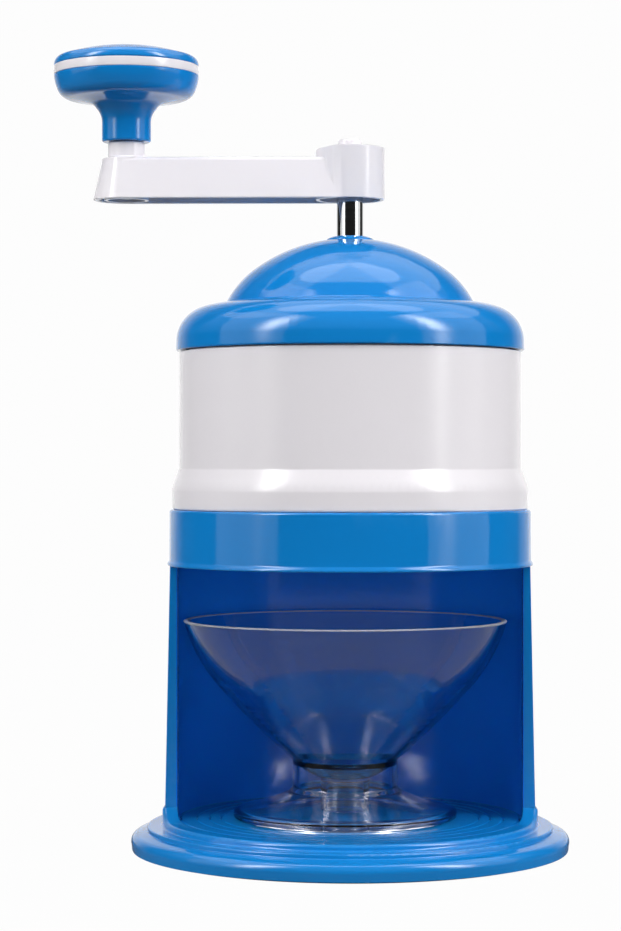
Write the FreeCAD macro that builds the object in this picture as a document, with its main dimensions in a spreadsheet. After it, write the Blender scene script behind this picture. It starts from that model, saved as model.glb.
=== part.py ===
"""Hand-cranked ice shaver, a parametric document in millimetres.

The crank's axis is the Z axis and the table is at Z = 0. The bay opens towards -Y, and the arm points to -X.
Every outline is drawn in a half plane through the axis, as (radius, height), unless its function says
otherwise.
"""
import FreeCAD, Part
import math
import os
import Sketcher
from FreeCAD import Placement, Rotation, Vector

DIMENSIONS = {
    # base
    "base_lift": 0.6,
    "base_wall": 2.2,
    "bulge_height": 2.6,
    "bulge_step": 2.1,
    "ledge_height": 5.9,
    "ledge_step": 2.7,
    "tier_margin": 5.5,
    "tier_foot": 6.6,
    "tier_top": 8.0,
    "tier_edge": 0.6,
    "deck_height": 10.0,
    "deck_edge": 1.2,
    "socket_height": 3.6,
    "socket_wall": 0.7,
    "socket_depth": 1.4,
    "sweep_length": 14.0,
    "pad_width": 3.8,
    # housing
    "bay_radius": 53.4,
    "bay_height": 78.1,
    "bay_front": 4.0,
    "wall_foot": 3.8,
    "wall_top": 2.3,
    "collar_height": 17.3,
    "collar_wall": 3.1,
    "collar_inset": 0.7,
    "collar_lip": 0.7,
    "hook_width": 10.0,
    "hook_wall": 1.6,
    "hook_barb": 0.8,
    # barrel
    "barrel_height": 48.6,
    "barrel_wall": 2.2,
    "barrel_step": 0.4,
    "foot_height": 6.5,
    "flare_height": 4.7,
    "flare_step": 2.2,
    "spigot_length": 14.8,
    "ledge_width": 6.0,
    "neck_step": 3.2,
    "neck_height": 6.5,
    "neck_wall": 1.8,
    "lug_depth": 1.4,
    "lug_thickness": 2.0,
    "lug_angle": 24.0,
    # blade disc
    "disc_thickness": 4.0,
    "slot_start": 9.0,
    "slot_margin": 2.6,
    "slot_width": 7.0,
    "pad_radius": 5.0,
    "pad_height": 1.0,
    "blade_width": 15.0,
    "blade_thickness": 1.0,
    "blade_proud": 0.5,
    "blade_overhang": 1.5,
    "screw_radius": 1.5,
    # lid
    "lid_wall": 2.2,
    "lid_gap": 0.3,
    "skirt_wall": 2.5,
    "skirt_height": 3.7,
    "brim_width": 15.5,
    "brim_shoulder": 7.3,
    "brim_shoulder_height": 13.2,
    "brim_height": 14.5,
    "dome_shoulder": 8.3,
    "dome_shoulder_height": 24.9,
    "boss_wall": 3.2,
    "boss_foot_height": 34.3,
    "boss_height": 1.2,
    "bush_wall": 1.9,
    "bush_length": 11.5,
    "tube_wall": 2.0,
    # shaft and crank
    "shaft_radius": 4.1,
    "shaft_showing": 11.2,
    "spindle_radius": 3.0,
    "shaft_fit": 0.06,
    "arm_reach": 69.3,
    "arm_height": 12.9,
    "arm_radius": 10.3,
    "arm_draft": 13.0,
    "arm_edge": 1.8,
    "arm_wall": 1.8,
    "hub_radius": 10.7,
    "hub_proud": 3.3,
    "hub_wall": 1.4,
    "plug_radius": 3.6,
    "plug_proud": 2.5,
    # feed
    "presser_gap": 4.3,
    "presser_thickness": 3.0,
    "presser_hub_radius": 9.0,
    "spike_length": 6.8,
    "wire_radius": 0.8,
    "coil_gap": 1.4,
    "coil_turns": 7,
    # knob
    "knob_radius": 22.4,
    "neck_gap": 5.2,
    "neck_width": 7.6,
    "knob_height": 29.6,
    "band_height": 2.8,
    "band_bottom": 20.6,
    "boss_sleeve_radius": 5.7,
    "boss_ring_radius": 7.0,
    "bolt_shoulder_radius": 3.0,
    # bowl
    "bowl_gap": 3.4,
    "bowl_headroom": 17.3,
    "bowl_wall": 1.8,
    "bowl_shift": -1.5,
    "drum_radius": 16.3,
    "stem_radius": 7.6,
    "drum_bottom": 9.5,
    "drum_top": 17.9,
    "knee_inset": 10.5,
    "knee_drop": 19.8,
    "bowl_foot_radius": 34.5,
    "bowl_foot_edge": 2.8,
    "clearance": 0.3,
}

# the wall's hooks are spread evenly round the back, from this angle past the X axis
HOOK_COUNT = 5
HOOK_START = 10
# a dome's outline ends this far from its axis and goes on level, so that no face comes to a point
CROWN_FLAT = 0.8


class Size:
    """A number together with the spreadsheet expression that gives it."""

    def __init__(self, value, text):
        self.value = value
        self.text = text

    def __add__(self, other):
        other = as_size(other)
        return Size(self.value + other.value, f"({self.text} + {other.text})")

    def __sub__(self, other):
        other = as_size(other)
        return Size(self.value - other.value, f"({self.text} - {other.text})")

    def __mul__(self, other):
        other = as_size(other)
        return Size(self.value * other.value, f"({self.text} * {other.text})")

    def __truediv__(self, other):
        other = as_size(other)
        return Size(self.value / other.value, f"({self.text} / {other.text})")

    def __neg__(self):
        return as_size(0) - self

    def __radd__(self, other):
        return as_size(other) + self

    def __rsub__(self, other):
        return as_size(other) - self

    def __rmul__(self, other):
        return as_size(other) * self


def as_size(number):
    """The number itself when it is a Size, or a plain number made into one."""
    return number if isinstance(number, Size) else Size(float(number), f"({number:.6f})")


def root(size):
    """The square root of a Size."""
    return Size(math.sqrt(size.value), f"sqrt({size.text})")


doc = FreeCAD.newDocument("IceShaver")
sheet = doc.addObject("Spreadsheet::Sheet", "Dims")
for row, (alias, number) in enumerate(DIMENSIONS.items(), start=1):
    sheet.set(f"A{row}", alias)
    sheet.set(f"B{row}", str(number))
    sheet.setAlias(f"B{row}", alias)
doc.recompute()
D = type("Dimensions", (), {name: Size(float(value), f"Dims.{name}") for name, value in DIMENSIONS.items()})

subparts = []


def bind(obj, name, size):
    """Set a property from a Size, by its expression."""
    obj.setExpression(name, as_size(size).text)


def new_body(label):
    """A body that becomes the sub-part of that name."""
    body = doc.addObject("PartDesign::Body", label)
    body.Label = label
    body.AllowCompound = True
    subparts.append(body)
    return body


def new_sketch(body, plane, height=None, turn=0.0):
    """An empty sketch on one of the body's planes, raised along the plane's normal and turned in it."""
    sketch = body.newObject("Sketcher::SketchObject", f"{body.Label}_sketch")
    support = next(f for f in body.Origin.OriginFeatures if f.Role == plane)
    sketch.AttachmentSupport = [(support, "")]
    sketch.MapMode = "FlatFace"
    sketch.AttachmentOffset = Placement(Vector(0, 0, 0), Rotation(Vector(0, 0, 1), turn))
    if height is not None:
        bind(sketch, "AttachmentOffset.Base.z", height)
    return sketch


def pin(sketch, edge, end, x, y):
    """Hold one end of an edge at a place given by two sizes."""
    for kind, axis, size in (("DistanceX", -2, as_size(x)), ("DistanceY", -1, as_size(y))):
        if size.value == 0 and "Dims" not in size.text:
            sketch.addConstraint(Sketcher.Constraint("PointOnObject", edge, end, axis))
        else:
            number = sketch.addConstraint(Sketcher.Constraint(kind, edge, end, size.value))
            sketch.setExpression(f"Constraints[{number}]", size.text)


def outline(sketch, points):
    """Draw a closed outline. A point (x, y) ends a straight edge, and (x, y, rise) ends an arc.

    The rise is how far the arc's middle stands out from its chord, to the left of the way it is drawn when it
    is positive. An arc runs from its start anticlockwise in a sketch, so a left-hand one is stored the other
    way round.
    """
    ends = []
    for i, point in enumerate(points):
        before = points[i - 1]
        x0, y0, x1, y1 = (as_size(n) for n in (before[0], before[1], point[0], point[1]))
        p0, p1 = Vector(x0.value, y0.value, 0), Vector(x1.value, y1.value, 0)
        if len(point) == 2:
            edge = sketch.addGeometry(Part.LineSegment(p0, p1), False)
            ends.append((edge, 1, 2))
        else:
            rise = as_size(point[2])
            across = p1 - p0
            left = Vector(-across.y, across.x, 0).normalize()
            middle = (p0 + p1) * 0.5 + left * rise.value
            leftward = rise.value > 0
            arc = Part.Arc(p1, middle, p0) if leftward else Part.Arc(p0, middle, p1)
            edge = sketch.addGeometry(arc, False)
            ends.append((edge, 2, 1) if leftward else (edge, 1, 2))
            chord_squared = (x1 - x0) * (x1 - x0) + (y1 - y0) * (y1 - y0)
            height = rise if leftward else -rise
            if abs(rise.value) < 0.3 * across.Length:
                radius = chord_squared / (8 * height) + height / 2
                number = sketch.addConstraint(Sketcher.Constraint("Radius", edge, radius.value))
                sketch.setExpression(f"Constraints[{number}]", radius.text)
            else:
                # near a half circle the centre says more than the radius does
                sag = (rise / 2 - chord_squared / (8 * rise)) / root(chord_squared)
                if abs(across.x) > abs(across.y):
                    kind, centre = "DistanceY", (y0 + y1) / 2 + (x1 - x0) * sag
                else:
                    kind, centre = "DistanceX", (x0 + x1) / 2 - (y1 - y0) * sag
                number = sketch.addConstraint(Sketcher.Constraint(kind, edge, 3, centre.value))
                sketch.setExpression(f"Constraints[{number}]", centre.text)
    for i, point in enumerate(points):
        edge, _, finish = ends[i]
        following, start, _ = ends[(i + 1) % len(points)]
        sketch.addConstraint(Sketcher.Constraint("Coincident", edge, finish, following, start))
        pin(sketch, edge, finish, point[0], point[1])
    return sketch


def circle(sketch, x, y, radius):
    """Draw a circle."""
    x, y, radius = as_size(x), as_size(y), as_size(radius)
    shape = Part.Circle(Vector(x.value, y.value, 0), Vector(0, 0, 1), radius.value)
    edge = sketch.addGeometry(shape, False)
    pin(sketch, edge, 3, x, y)
    number = sketch.addConstraint(Sketcher.Constraint("Radius", edge, radius.value))
    sketch.setExpression(f"Constraints[{number}]", radius.text)
    return sketch


def rectangle(sketch, left, right, bottom, top):
    """Draw a rectangle."""
    return outline(sketch, [(left, bottom), (right, bottom), (right, top), (left, top)])


def feature(body, kind, sketch, adds, **settings):
    """Add a PartDesign feature, and stop if it takes nothing away or adds nothing."""
    before = body.Shape.Volume if body.Tip else 0.0
    made = body.newObject(f"PartDesign::{kind}", f"{body.Label}_{kind.lower()}")
    made.Profile = sketch
    for name, value in settings.items():
        if isinstance(value, Size):
            bind(made, name, value)
        else:
            setattr(made, name, value)
    sketch.Visibility = False
    doc.recompute()
    change = body.Shape.Volume - before
    if (change > 0) != adds or abs(change) < 1e-6:
        raise RuntimeError(f"{made.Label} changes the volume by {change:.4f} mm3")
    return made


def revolve(body, sketch, **settings):
    """Turn an outline round the sketch's vertical axis, or round its own first construction line."""
    return feature(body, "Revolution", sketch, True, ReferenceAxis=(sketch, [spin_axis(sketch)]), **settings)


def groove(body, sketch, **settings):
    """Cut away what an outline passes through when it is turned."""
    return feature(body, "Groove", sketch, False, ReferenceAxis=(sketch, [spin_axis(sketch)]), **settings)


def spin_axis(sketch):
    """The name of the line that a sketch's outline is turned about."""
    return "Axis0" if sketch.AxisCount else "V_Axis"


def axis_line(sketch, x):
    """Draw an upright construction line for an outline that isn't turned about the crank's axis."""
    x = as_size(x)
    line = sketch.addGeometry(Part.LineSegment(Vector(x.value, 0, 0), Vector(x.value, 10, 0)), True)
    pin(sketch, line, 1, x, 0)
    pin(sketch, line, 2, x, 10)
    return sketch


def pad(body, sketch, length, **settings):
    """Raise an outline into a solid."""
    return feature(body, "Pad", sketch, True, Length=as_size(length), **settings)


def pocket(body, sketch, length, **settings):
    """Sink an outline into the solid."""
    return feature(body, "Pocket", sketch, False, Length=as_size(length), **settings)


def named_edges(made):
    """The edges of a feature's shape with their names."""
    return [(f"Edge{i}", line) for i, line in enumerate(made.Shape.Edges, start=1)]


def lies_on_cylinder(line, radius):
    """Whether an edge keeps that far from the crank's axis."""
    first, last = line.ParameterRange
    points = [line.valueAt(first + (last - first) * share) for share in (0, 0.3, 0.7, 1)]
    return all(abs(math.hypot(point.x, point.y) - radius.value) < 0.01 for point in points)


def fillet(body, made, edges, radius):
    """Round a feature's edges."""
    rounded = body.newObject("PartDesign::Fillet", f"{body.Label}_fillet")
    rounded.Base = (made, edges)
    bind(rounded, "Radius", radius)
    doc.recompute()
    return rounded


def polar(body, originals, count, angle=360.0):
    """Repeat features round the crank's axis."""
    pattern = body.newObject("PartDesign::PolarPattern", f"{body.Label}_pattern")
    pattern.Originals = originals
    z_axis = next(f for f in body.Origin.OriginFeatures if f.Role == "Z_Axis")
    pattern.Axis = (z_axis, [""])
    pattern.Angle = angle
    pattern.Occurrences = count
    body.Tip = pattern
    doc.recompute()
    return pattern


def crown_rise(across, drop):
    """The rise of an arc that is level at its end on the axis, and reaches that far out and down from there."""
    chord_squared = across * across + drop * drop
    radius = chord_squared / (2 * drop)
    return radius - root(radius * radius - chord_squared / 4)


def inset(point, facing, wall):
    """The point of an inner face, one wall inside a point of the outer face that faces that many degrees up."""
    across, up = math.cos(math.radians(facing)), math.sin(math.radians(facing))
    return point[0] - across * wall, point[1] - up * wall


# ------------------------------------------------------------ radii shared by several pieces
wall_foot_radius = D.bay_radius + D.wall_foot
wall_top_radius = D.bay_radius + D.wall_top
tier_radius = wall_foot_radius + D.tier_margin
ledge_radius = tier_radius + D.ledge_step
base_radius = ledge_radius + D.bulge_step
collar_inner = D.bay_radius - D.collar_inset
collar_radius = collar_inner + D.collar_wall
spigot_radius = collar_inner - D.clearance
barrel_radius = spigot_radius + D.barrel_step
barrel_inner = barrel_radius - D.barrel_wall
barrel_foot_radius = barrel_radius + D.flare_step
neck_radius = barrel_radius - D.neck_step
neck_inner = neck_radius - D.neck_wall
skirt_inner = neck_radius + D.lug_depth + D.clearance
lid_radius = skirt_inner + D.skirt_wall
dome_radius = lid_radius - D.brim_width
bush_radius = D.shaft_radius + D.bush_wall
tube_radius = bush_radius + D.tube_wall
coil_radius = tube_radius + D.coil_gap + D.wire_radius
lid_boss_radius = D.shaft_radius + D.boss_wall
presser_radius = neck_inner - D.presser_gap
slot_end = barrel_inner - D.ledge_width - D.slot_margin
bowl_radius = D.bay_radius - D.bowl_gap

# ------------------------------------------------------------ heights shared by several pieces
seat_height = D.deck_height - D.socket_depth
deck_underside = D.deck_height - D.base_wall
hook_bottom = D.deck_height - 5.8
bowl_height = D.bay_height - D.bowl_headroom
collar_bottom = D.deck_height + D.bay_height
collar_top = collar_bottom + D.collar_height
bead_height = collar_top - D.spigot_length / 2 + 0.2
spigot_bottom = collar_top - D.spigot_length
ledge_top = spigot_bottom + 2.0
disc_top = ledge_top + D.disc_thickness
pad_top = disc_top + D.pad_height
shoulder_height = collar_top + D.barrel_height
shaft_end = pad_top + 0.2
nut_bottom = shaft_end + 2.0
nut_top = nut_bottom + 4.2
washer_top = nut_top + 1.2
presser_bottom = washer_top
presser_top = presser_bottom + D.presser_thickness
presser_hub_top = presser_bottom + 8.5
shaft_shoulder = presser_bottom + 5.0
spring_bottom = presser_hub_top + 0.1 + 1.2
lid_bottom = shoulder_height + D.lid_gap
spring_top = lid_bottom + D.boss_foot_height - D.lid_wall - 1.9
lid_top = lid_bottom + D.boss_foot_height + D.boss_height
bush_bottom = lid_top - 2.1 - D.bush_length
arm_bottom = lid_top + D.shaft_showing
arm_top = arm_bottom + D.arm_height
hub_top = arm_top + D.hub_proud
neck_bottom = arm_top + D.neck_gap
sleeve_top = neck_bottom - 0.2
shaft_top = hub_top - 6.0
hub_web_top = shaft_top + 2.0
bolt_head_bottom = neck_bottom + 17.1


def make_base():
    """Round base in two tiers with a flat deck, hollow underneath, and the socket for the housing's wall."""
    body = new_body("base")
    w = D.base_wall
    channel_outer = base_radius - w - 0.2
    channel_inner = channel_outer - D.pad_width - 0.2
    rib_inner = channel_inner - 1.6
    socket_inner = wall_foot_radius + 0.1
    socket_outer = socket_inner + D.socket_wall
    rim_top = D.deck_height + D.socket_height
    revolve(body, outline(new_sketch(body, "XZ_Plane"), [
        (0, D.deck_height),
        (0, deck_underside),
        (D.bay_radius - 2.0, deck_underside),
        (D.bay_radius - 1.2, seat_height - w),
        (rib_inner, seat_height - w),
        (rib_inner, 1.2),
        (channel_inner, 1.2),
        (channel_inner, D.ledge_height - w),
        (channel_outer - 1.2, D.ledge_height - w),
        (channel_outer, D.bulge_height),
        (channel_outer, D.base_lift),
        (base_radius - 0.2, D.base_lift),
        (base_radius, D.bulge_height),
        (ledge_radius, D.ledge_height, -0.9),
        (tier_radius, D.tier_foot),
        (tier_radius, D.tier_top - D.tier_edge),
        (tier_radius - D.tier_edge, D.tier_top, -0.3 * D.tier_edge),
        (socket_outer + 0.4, D.tier_top),
        (socket_outer, D.tier_top + 0.4),
        (socket_outer, rim_top),
        (D.bay_radius, rim_top),
        (D.bay_radius, D.deck_height),
    ]))
    # in front of the bay's edges the socket sweeps down to the deck
    reach = base_radius + 5
    edge = D.bay_front + D.clearance
    front = outline(new_sketch(body, "YZ_Plane"), [
        (-reach, rim_top + 2),
        (-reach, D.deck_height),
        (-edge - D.sweep_length, D.deck_height),
        (-edge, rim_top, -crown_rise(D.sweep_length, D.socket_height)),
        (-edge, rim_top + 2),
    ])
    swept = pocket(body, front, reach * 2, Midplane=True)
    fillet(body, swept, [
        name for name, line in named_edges(swept)
        if lies_on_cylinder(line, socket_outer) and line.BoundBox.ZMin > D.deck_height.value - 0.01
    ], D.deck_edge)
    # channel for the wall's foot, round the back
    sweep = 180 + (D.bay_front + D.clearance) / D.bay_radius * 115
    seat = rectangle(new_sketch(body, "YZ_Plane"), D.bay_radius - 0.1, socket_inner, seat_height, rim_top + 1)
    groove(body, seat, Angle=sweep, Midplane=True)
    # shallow rings in the deck round the bowl's foot
    for margin in (13.9, 10.4, 6.4, 1.4):
        radius = D.bay_radius - margin
        ring = outline(new_sketch(body, "XZ_Plane"), [
            (radius, D.deck_height + 0.1),
            (radius, D.deck_height - 0.1),
            (radius + 0.35, D.deck_height - 0.4),
            (radius + 0.7, D.deck_height - 0.1),
            (radius + 0.7, D.deck_height + 0.1),
        ])
        groove(body, ring)
    # slots for the wall's hooks
    half = D.hook_width / 2 + D.clearance
    middle = (D.bay_radius + wall_foot_radius) / 2
    slot = new_sketch(body, "XY_Plane", seat_height + 0.5, HOOK_START)
    slot_inner = middle - D.hook_wall / 2 - D.clearance
    slot_outer = middle + D.hook_wall / 2 + D.hook_barb + 0.4
    rectangle(slot, slot_inner, slot_outer, -half, half)
    cut = pocket(body, slot, D.base_wall + 1.5)
    polar(body, [cut], HOOK_COUNT, 180 - 2 * HOOK_START)
    # low ribs under the deck
    rib = rectangle(new_sketch(body, "XY_Plane", deck_underside - 2.4), 14, rib_inner + 0.2, -0.7, 0.7)
    polar(body, [pad(body, rib, 2.6)], 6)
    return body


def make_non_slip_ring():
    """Rubber ring in the channel under the base. It carries the whole object."""
    body = new_body("non_slip_ring")
    outer = base_radius - D.base_wall - 0.2 - 0.1
    inner = outer - D.pad_width
    revolve(body, outline(new_sketch(body, "XZ_Plane"), [
        (inner, 0.4),
        (inner + 0.4, 0),
        (outer - 0.4, 0),
        (outer, 0.4),
        (outer, D.bulge_height - 0.1),
        (outer - 1.2, D.ledge_height - D.base_wall),
        (inner, D.ledge_height - D.base_wall),
    ]))
    return body


def make_housing():
    """Half-round wall with an open front under a full collar, and hooks under its foot."""
    body = new_body("housing")
    foot_top = D.deck_height + D.socket_height
    revolve(body, outline(new_sketch(body, "XZ_Plane"), [
        (D.bay_radius, seat_height),
        (wall_foot_radius, seat_height),
        (wall_foot_radius, foot_top),
        (wall_top_radius, collar_bottom),
        (collar_radius + D.collar_lip, collar_bottom),
        (collar_radius + D.collar_lip, collar_bottom + 0.8),
        (collar_radius + 0.1, collar_bottom + 1.5),
        (collar_radius, collar_top - 0.9),
        (collar_radius - 0.9, collar_top, -0.25),
        (collar_inner, collar_top),
        (collar_inner, bead_height + 0.8),
        (collar_inner - 0.5, bead_height),
        (collar_inner, bead_height - 0.8),
        (collar_inner, collar_bottom + 2.8),
        (D.bay_radius, collar_bottom + 2.1),
    ]))
    reach = collar_radius + 5
    front = new_sketch(body, "XY_Plane", collar_bottom)
    rectangle(front, -reach, reach, -reach, -D.bay_front)
    pocket(body, front, collar_bottom - seat_height + 1)
    middle = (D.bay_radius + wall_foot_radius) / 2
    half = D.hook_width / 2
    stem = new_sketch(body, "XY_Plane", hook_bottom, HOOK_START)
    rectangle(stem, middle - D.hook_wall / 2, middle + D.hook_wall / 2, -half, half)
    barb = new_sketch(body, "XY_Plane", hook_bottom, HOOK_START)
    rectangle(barb, middle, middle + D.hook_wall / 2 + D.hook_barb, -half, half)
    stem_pad = pad(body, stem, seat_height - hook_bottom + 0.5)
    barb_pad = pad(body, barb, seat_height - D.base_wall - hook_bottom - 0.2)
    polar(body, [stem_pad, barb_pad], HOOK_COUNT, 180 - 2 * HOOK_START)
    return body


def make_ice_barrel():
    """Open cylinder: a flared foot on the collar, a spigot in it, a ledge for the disc and a lugged neck."""
    body = new_body("ice_barrel")
    foot_top = collar_top + D.foot_height
    flare_top = foot_top + D.flare_height
    flare_middle = (barrel_radius + barrel_foot_radius) / 2
    rim = shoulder_height + D.neck_height
    revolve(body, outline(new_sketch(body, "XZ_Plane"), [
        (barrel_inner - D.ledge_width, ledge_top),
        (barrel_inner - D.ledge_width, spigot_bottom),
        (spigot_radius, spigot_bottom),
        (spigot_radius, bead_height - 1.2),
        (spigot_radius - 0.5, bead_height - 0.3),
        (spigot_radius - 0.5, bead_height + 0.3),
        (spigot_radius, bead_height + 1.2),
        (spigot_radius, collar_top),
        (barrel_foot_radius - 0.4, collar_top),
        (barrel_foot_radius, collar_top + 0.4),
        (barrel_foot_radius, foot_top),
        (flare_middle, (foot_top + flare_top) / 2, -0.25),
        (barrel_radius, flare_top, 0.25),
        (barrel_radius, shoulder_height),
        (neck_radius, shoulder_height),
        (neck_radius, rim),
        (neck_inner, rim),
        (neck_inner, shoulder_height - 1.5),
        (barrel_inner, shoulder_height - 5),
        (barrel_inner, ledge_top),
    ]))
    lug_bottom = shoulder_height + 2.3
    lug = rectangle(new_sketch(body, "XZ_Plane"), neck_radius - 0.5, neck_radius + D.lug_depth,
                    lug_bottom, lug_bottom + D.lug_thickness)
    polar(body, [revolve(body, lug, Angle=D.lug_angle, Midplane=True)], 3)
    holes = circle(new_sketch(body, "XY_Plane", ledge_top + 0.5), 3 - barrel_inner, 0, D.screw_radius + 0.2)
    polar(body, [pocket(body, holes, 3)], 3)
    return body


def make_blade_disc():
    """Floor of the barrel: a disc with the slot for the shavings, the blade's seat and a centre pad."""
    body = new_body("blade_disc")
    radius = barrel_inner - D.clearance
    revolve(body, outline(new_sketch(body, "XZ_Plane"), [
        (0, ledge_top),
        (radius, ledge_top),
        (radius, disc_top - 0.5),
        (radius - 0.5, disc_top),
        (D.pad_radius, disc_top),
        (D.pad_radius - 0.3, pad_top),
        (0, pad_top),
    ]))
    slot = rectangle(new_sketch(body, "XY_Plane", pad_top), D.slot_start, slot_end, 0, D.slot_width)
    pocket(body, slot, D.disc_thickness + D.pad_height + 1)
    seat_depth = D.blade_thickness - D.blade_proud
    seat = new_sketch(body, "XY_Plane", disc_top)
    rectangle(seat, D.slot_start - 0.2, slot_end + 0.2, D.blade_overhang - D.blade_width - 0.2, 0.5)
    pocket(body, seat, seat_depth)
    bores = new_sketch(body, "XY_Plane", disc_top)
    for x in blade_screw_places():
        circle(bores, x, blade_screw_y(), D.screw_radius + 0.15)
    pocket(body, bores, D.disc_thickness - 0.6)
    cones = new_sketch(body, "XY_Plane", disc_top - seat_depth)
    for x in blade_screw_places():
        circle(cones, x, blade_screw_y(), D.screw_radius + 0.45)
    pocket(body, cones, 0.45)
    fixing = circle(new_sketch(body, "XY_Plane", ledge_top - 0.5), 3 - barrel_inner, 0, D.screw_radius + 0.05)
    polar(body, [pocket(body, fixing, 3.6, Reversed=True)], 3)
    return body


def blade_screw_places():
    """How far the blade's two screws are from the crank's axis."""
    length = slot_end - D.slot_start
    return D.slot_start + length / 5, slot_end - length / 5


def blade_screw_y():
    """The line of the blade's screws, behind its edge."""
    return D.blade_overhang - D.blade_width * 0.62


def make_blade():
    """Steel blade lying in the disc's seat, its edge ground from underneath and reaching over the slot."""
    body = new_body("blade")
    top = disc_top + D.blade_proud
    bottom = top - D.blade_thickness
    edge = D.blade_overhang
    section = new_sketch(body, "YZ_Plane", D.slot_start)
    outline(section, [
        (edge, top),
        (edge - D.blade_width, top),
        (edge - D.blade_width, bottom),
        (edge - 2.4, bottom),
        (edge - 0.1, top - 0.12),
    ])
    pad(body, section, slot_end - D.slot_start)
    holes = new_sketch(body, "XY_Plane", top + 0.1)
    for x in blade_screw_places():
        circle(holes, x, blade_screw_y(), D.screw_radius + 0.1)
    pocket(body, holes, D.blade_thickness + 0.2)
    for x in blade_screw_places():
        cone = axis_line(new_sketch(body, "XZ_Plane", -blade_screw_y()), x)
        outline(cone, [
            (x, top + 0.1),
            (x, bottom - 0.1),
            (x + D.screw_radius + 0.35, bottom - 0.1),
            (x + D.screw_radius + 0.35 + D.blade_thickness + 0.2, top + 0.1),
        ])
        groove(body, cone)
    return body


def make_blade_screws():
    """The two countersunk screws that hold the blade."""
    body = new_body("blade_screws")
    top = disc_top + D.blade_proud
    head = D.blade_thickness + 0.1
    tip = top - D.disc_thickness + 0.3
    for x in blade_screw_places():
        sketch = axis_line(new_sketch(body, "XZ_Plane", -blade_screw_y()), x)
        outline(sketch, [
            (x, top - 0.7),
            (x, tip),
            (x + D.screw_radius - 0.4, tip),
            (x + D.screw_radius, tip + 0.4),
            (x + D.screw_radius, top - head - 0.1),
            (x + D.screw_radius + head + 0.1, top - 0.05),
            (x + 1.4, top - 0.05),
            (x + 1.0, top - 0.7),
        ])
        revolve(body, sketch)
    return body


def make_disc_screws():
    """The three pan-head screws that hold the blade disc on the barrel's ledge, from underneath."""
    body = new_body("disc_screws")
    x = 3 - barrel_inner
    sketch = axis_line(new_sketch(body, "XZ_Plane"), x)
    outline(sketch, [
        (x, ledge_top + 2.8),
        (x, spigot_bottom - 1.2),
        (x + 1.0, spigot_bottom - 1.2),
        (x + 1.2, spigot_bottom - 1.9),
        (x + 2.1, spigot_bottom - 1.6, -0.1),
        (x + 2.7, spigot_bottom, -0.2),
        (x + D.screw_radius, spigot_bottom),
        (x + D.screw_radius, ledge_top + 2.4),
        (x + D.screw_radius - 0.4, ledge_top + 2.8),
    ])
    polar(body, [revolve(body, sketch)], 3)
    return body


def make_bowl():
    """Clear bowl on a hollow pedestal, one moulding. It stands on the deck."""
    body = new_body("bowl")
    floor = D.deck_height + 0.1
    w = D.bowl_wall
    rim = (bowl_radius, floor + bowl_height)
    waist = (D.drum_radius, floor + D.drum_top)
    knee = (bowl_radius - D.knee_inset, rim[1] - D.knee_drop)
    rim_in = inset(rim, -17, w)
    knee_in = inset(knee, -39, w)
    waist_in = inset(waist, -46, w)
    sketch = axis_line(new_sketch(body, "XZ_Plane"), D.bowl_shift)
    x = D.bowl_shift
    foot_in = D.bowl_foot_radius - w
    stem = D.stem_radius
    drum_in = D.drum_radius - w
    floor_drop = 6.0
    ceiling_drop = 4.9
    ceiling = waist_in[1] - w
    outline(sketch, [
        (x + foot_in, floor),
        (x + D.bowl_foot_radius - 0.5, floor),
        (x + D.bowl_foot_radius, floor + 0.5),
        (x + D.bowl_foot_radius, floor + D.bowl_foot_edge - 0.6),
        (x + D.bowl_foot_radius - 1.2, floor + D.bowl_foot_edge),
        (x + D.drum_radius + 1.2, floor + D.drum_bottom - 1.4, 0.5),
        (x + D.drum_radius, floor + D.drum_bottom),
        (x + waist[0], waist[1]),
        (x + knee[0], knee[1], -0.5),
        (x + rim[0], rim[1], -1.25),
        (x + rim[0] - 1.2, rim[1] + 0.25, -0.25),
        (x + rim_in[0], rim[1] - 0.2, -0.15),
        (x + knee_in[0], knee_in[1], 1.15),
        (x + waist_in[0], waist_in[1], 0.45),
        (x + CROWN_FLAT, waist_in[1] - floor_drop, crown_rise(waist_in[0] - CROWN_FLAT, as_size(floor_drop))),
        (x, waist_in[1] - floor_drop),
        (x, ceiling - floor_drop),
        (x + stem - w, ceiling - floor_drop),
        (x + stem - w, floor + 1.0),
        (x + stem, floor + 1.0),
        (x + stem, ceiling - ceiling_drop),
        (x + drum_in, ceiling - 1.1, -0.4),
        (x + drum_in, floor + D.drum_bottom - 0.7),
        (x + drum_in + 1.2, floor + D.drum_bottom - 2.4),
        (x + foot_in - 0.4, floor + 1.4, -0.5),
    ])
    revolve(body, sketch)
    return body


def lid_outer():
    """The lid's outer outline from the boss down to the skirt, with the way each point faces in degrees."""
    base = lid_bottom
    return [
        ((lid_boss_radius, base + D.boss_foot_height), 82, None),
        ((dome_radius - D.dome_shoulder, base + D.dome_shoulder_height), 53, 1.56),
        ((dome_radius, base + D.brim_height + 0.4), 26, 0.76),
        ((dome_radius + 0.3, base + D.brim_height), 82, None),
        ((lid_radius - D.brim_shoulder, base + D.brim_shoulder_height), 70, 0.34),
        ((lid_radius - 0.1, base + D.skirt_height), 4, 1.75),
    ]


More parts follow.
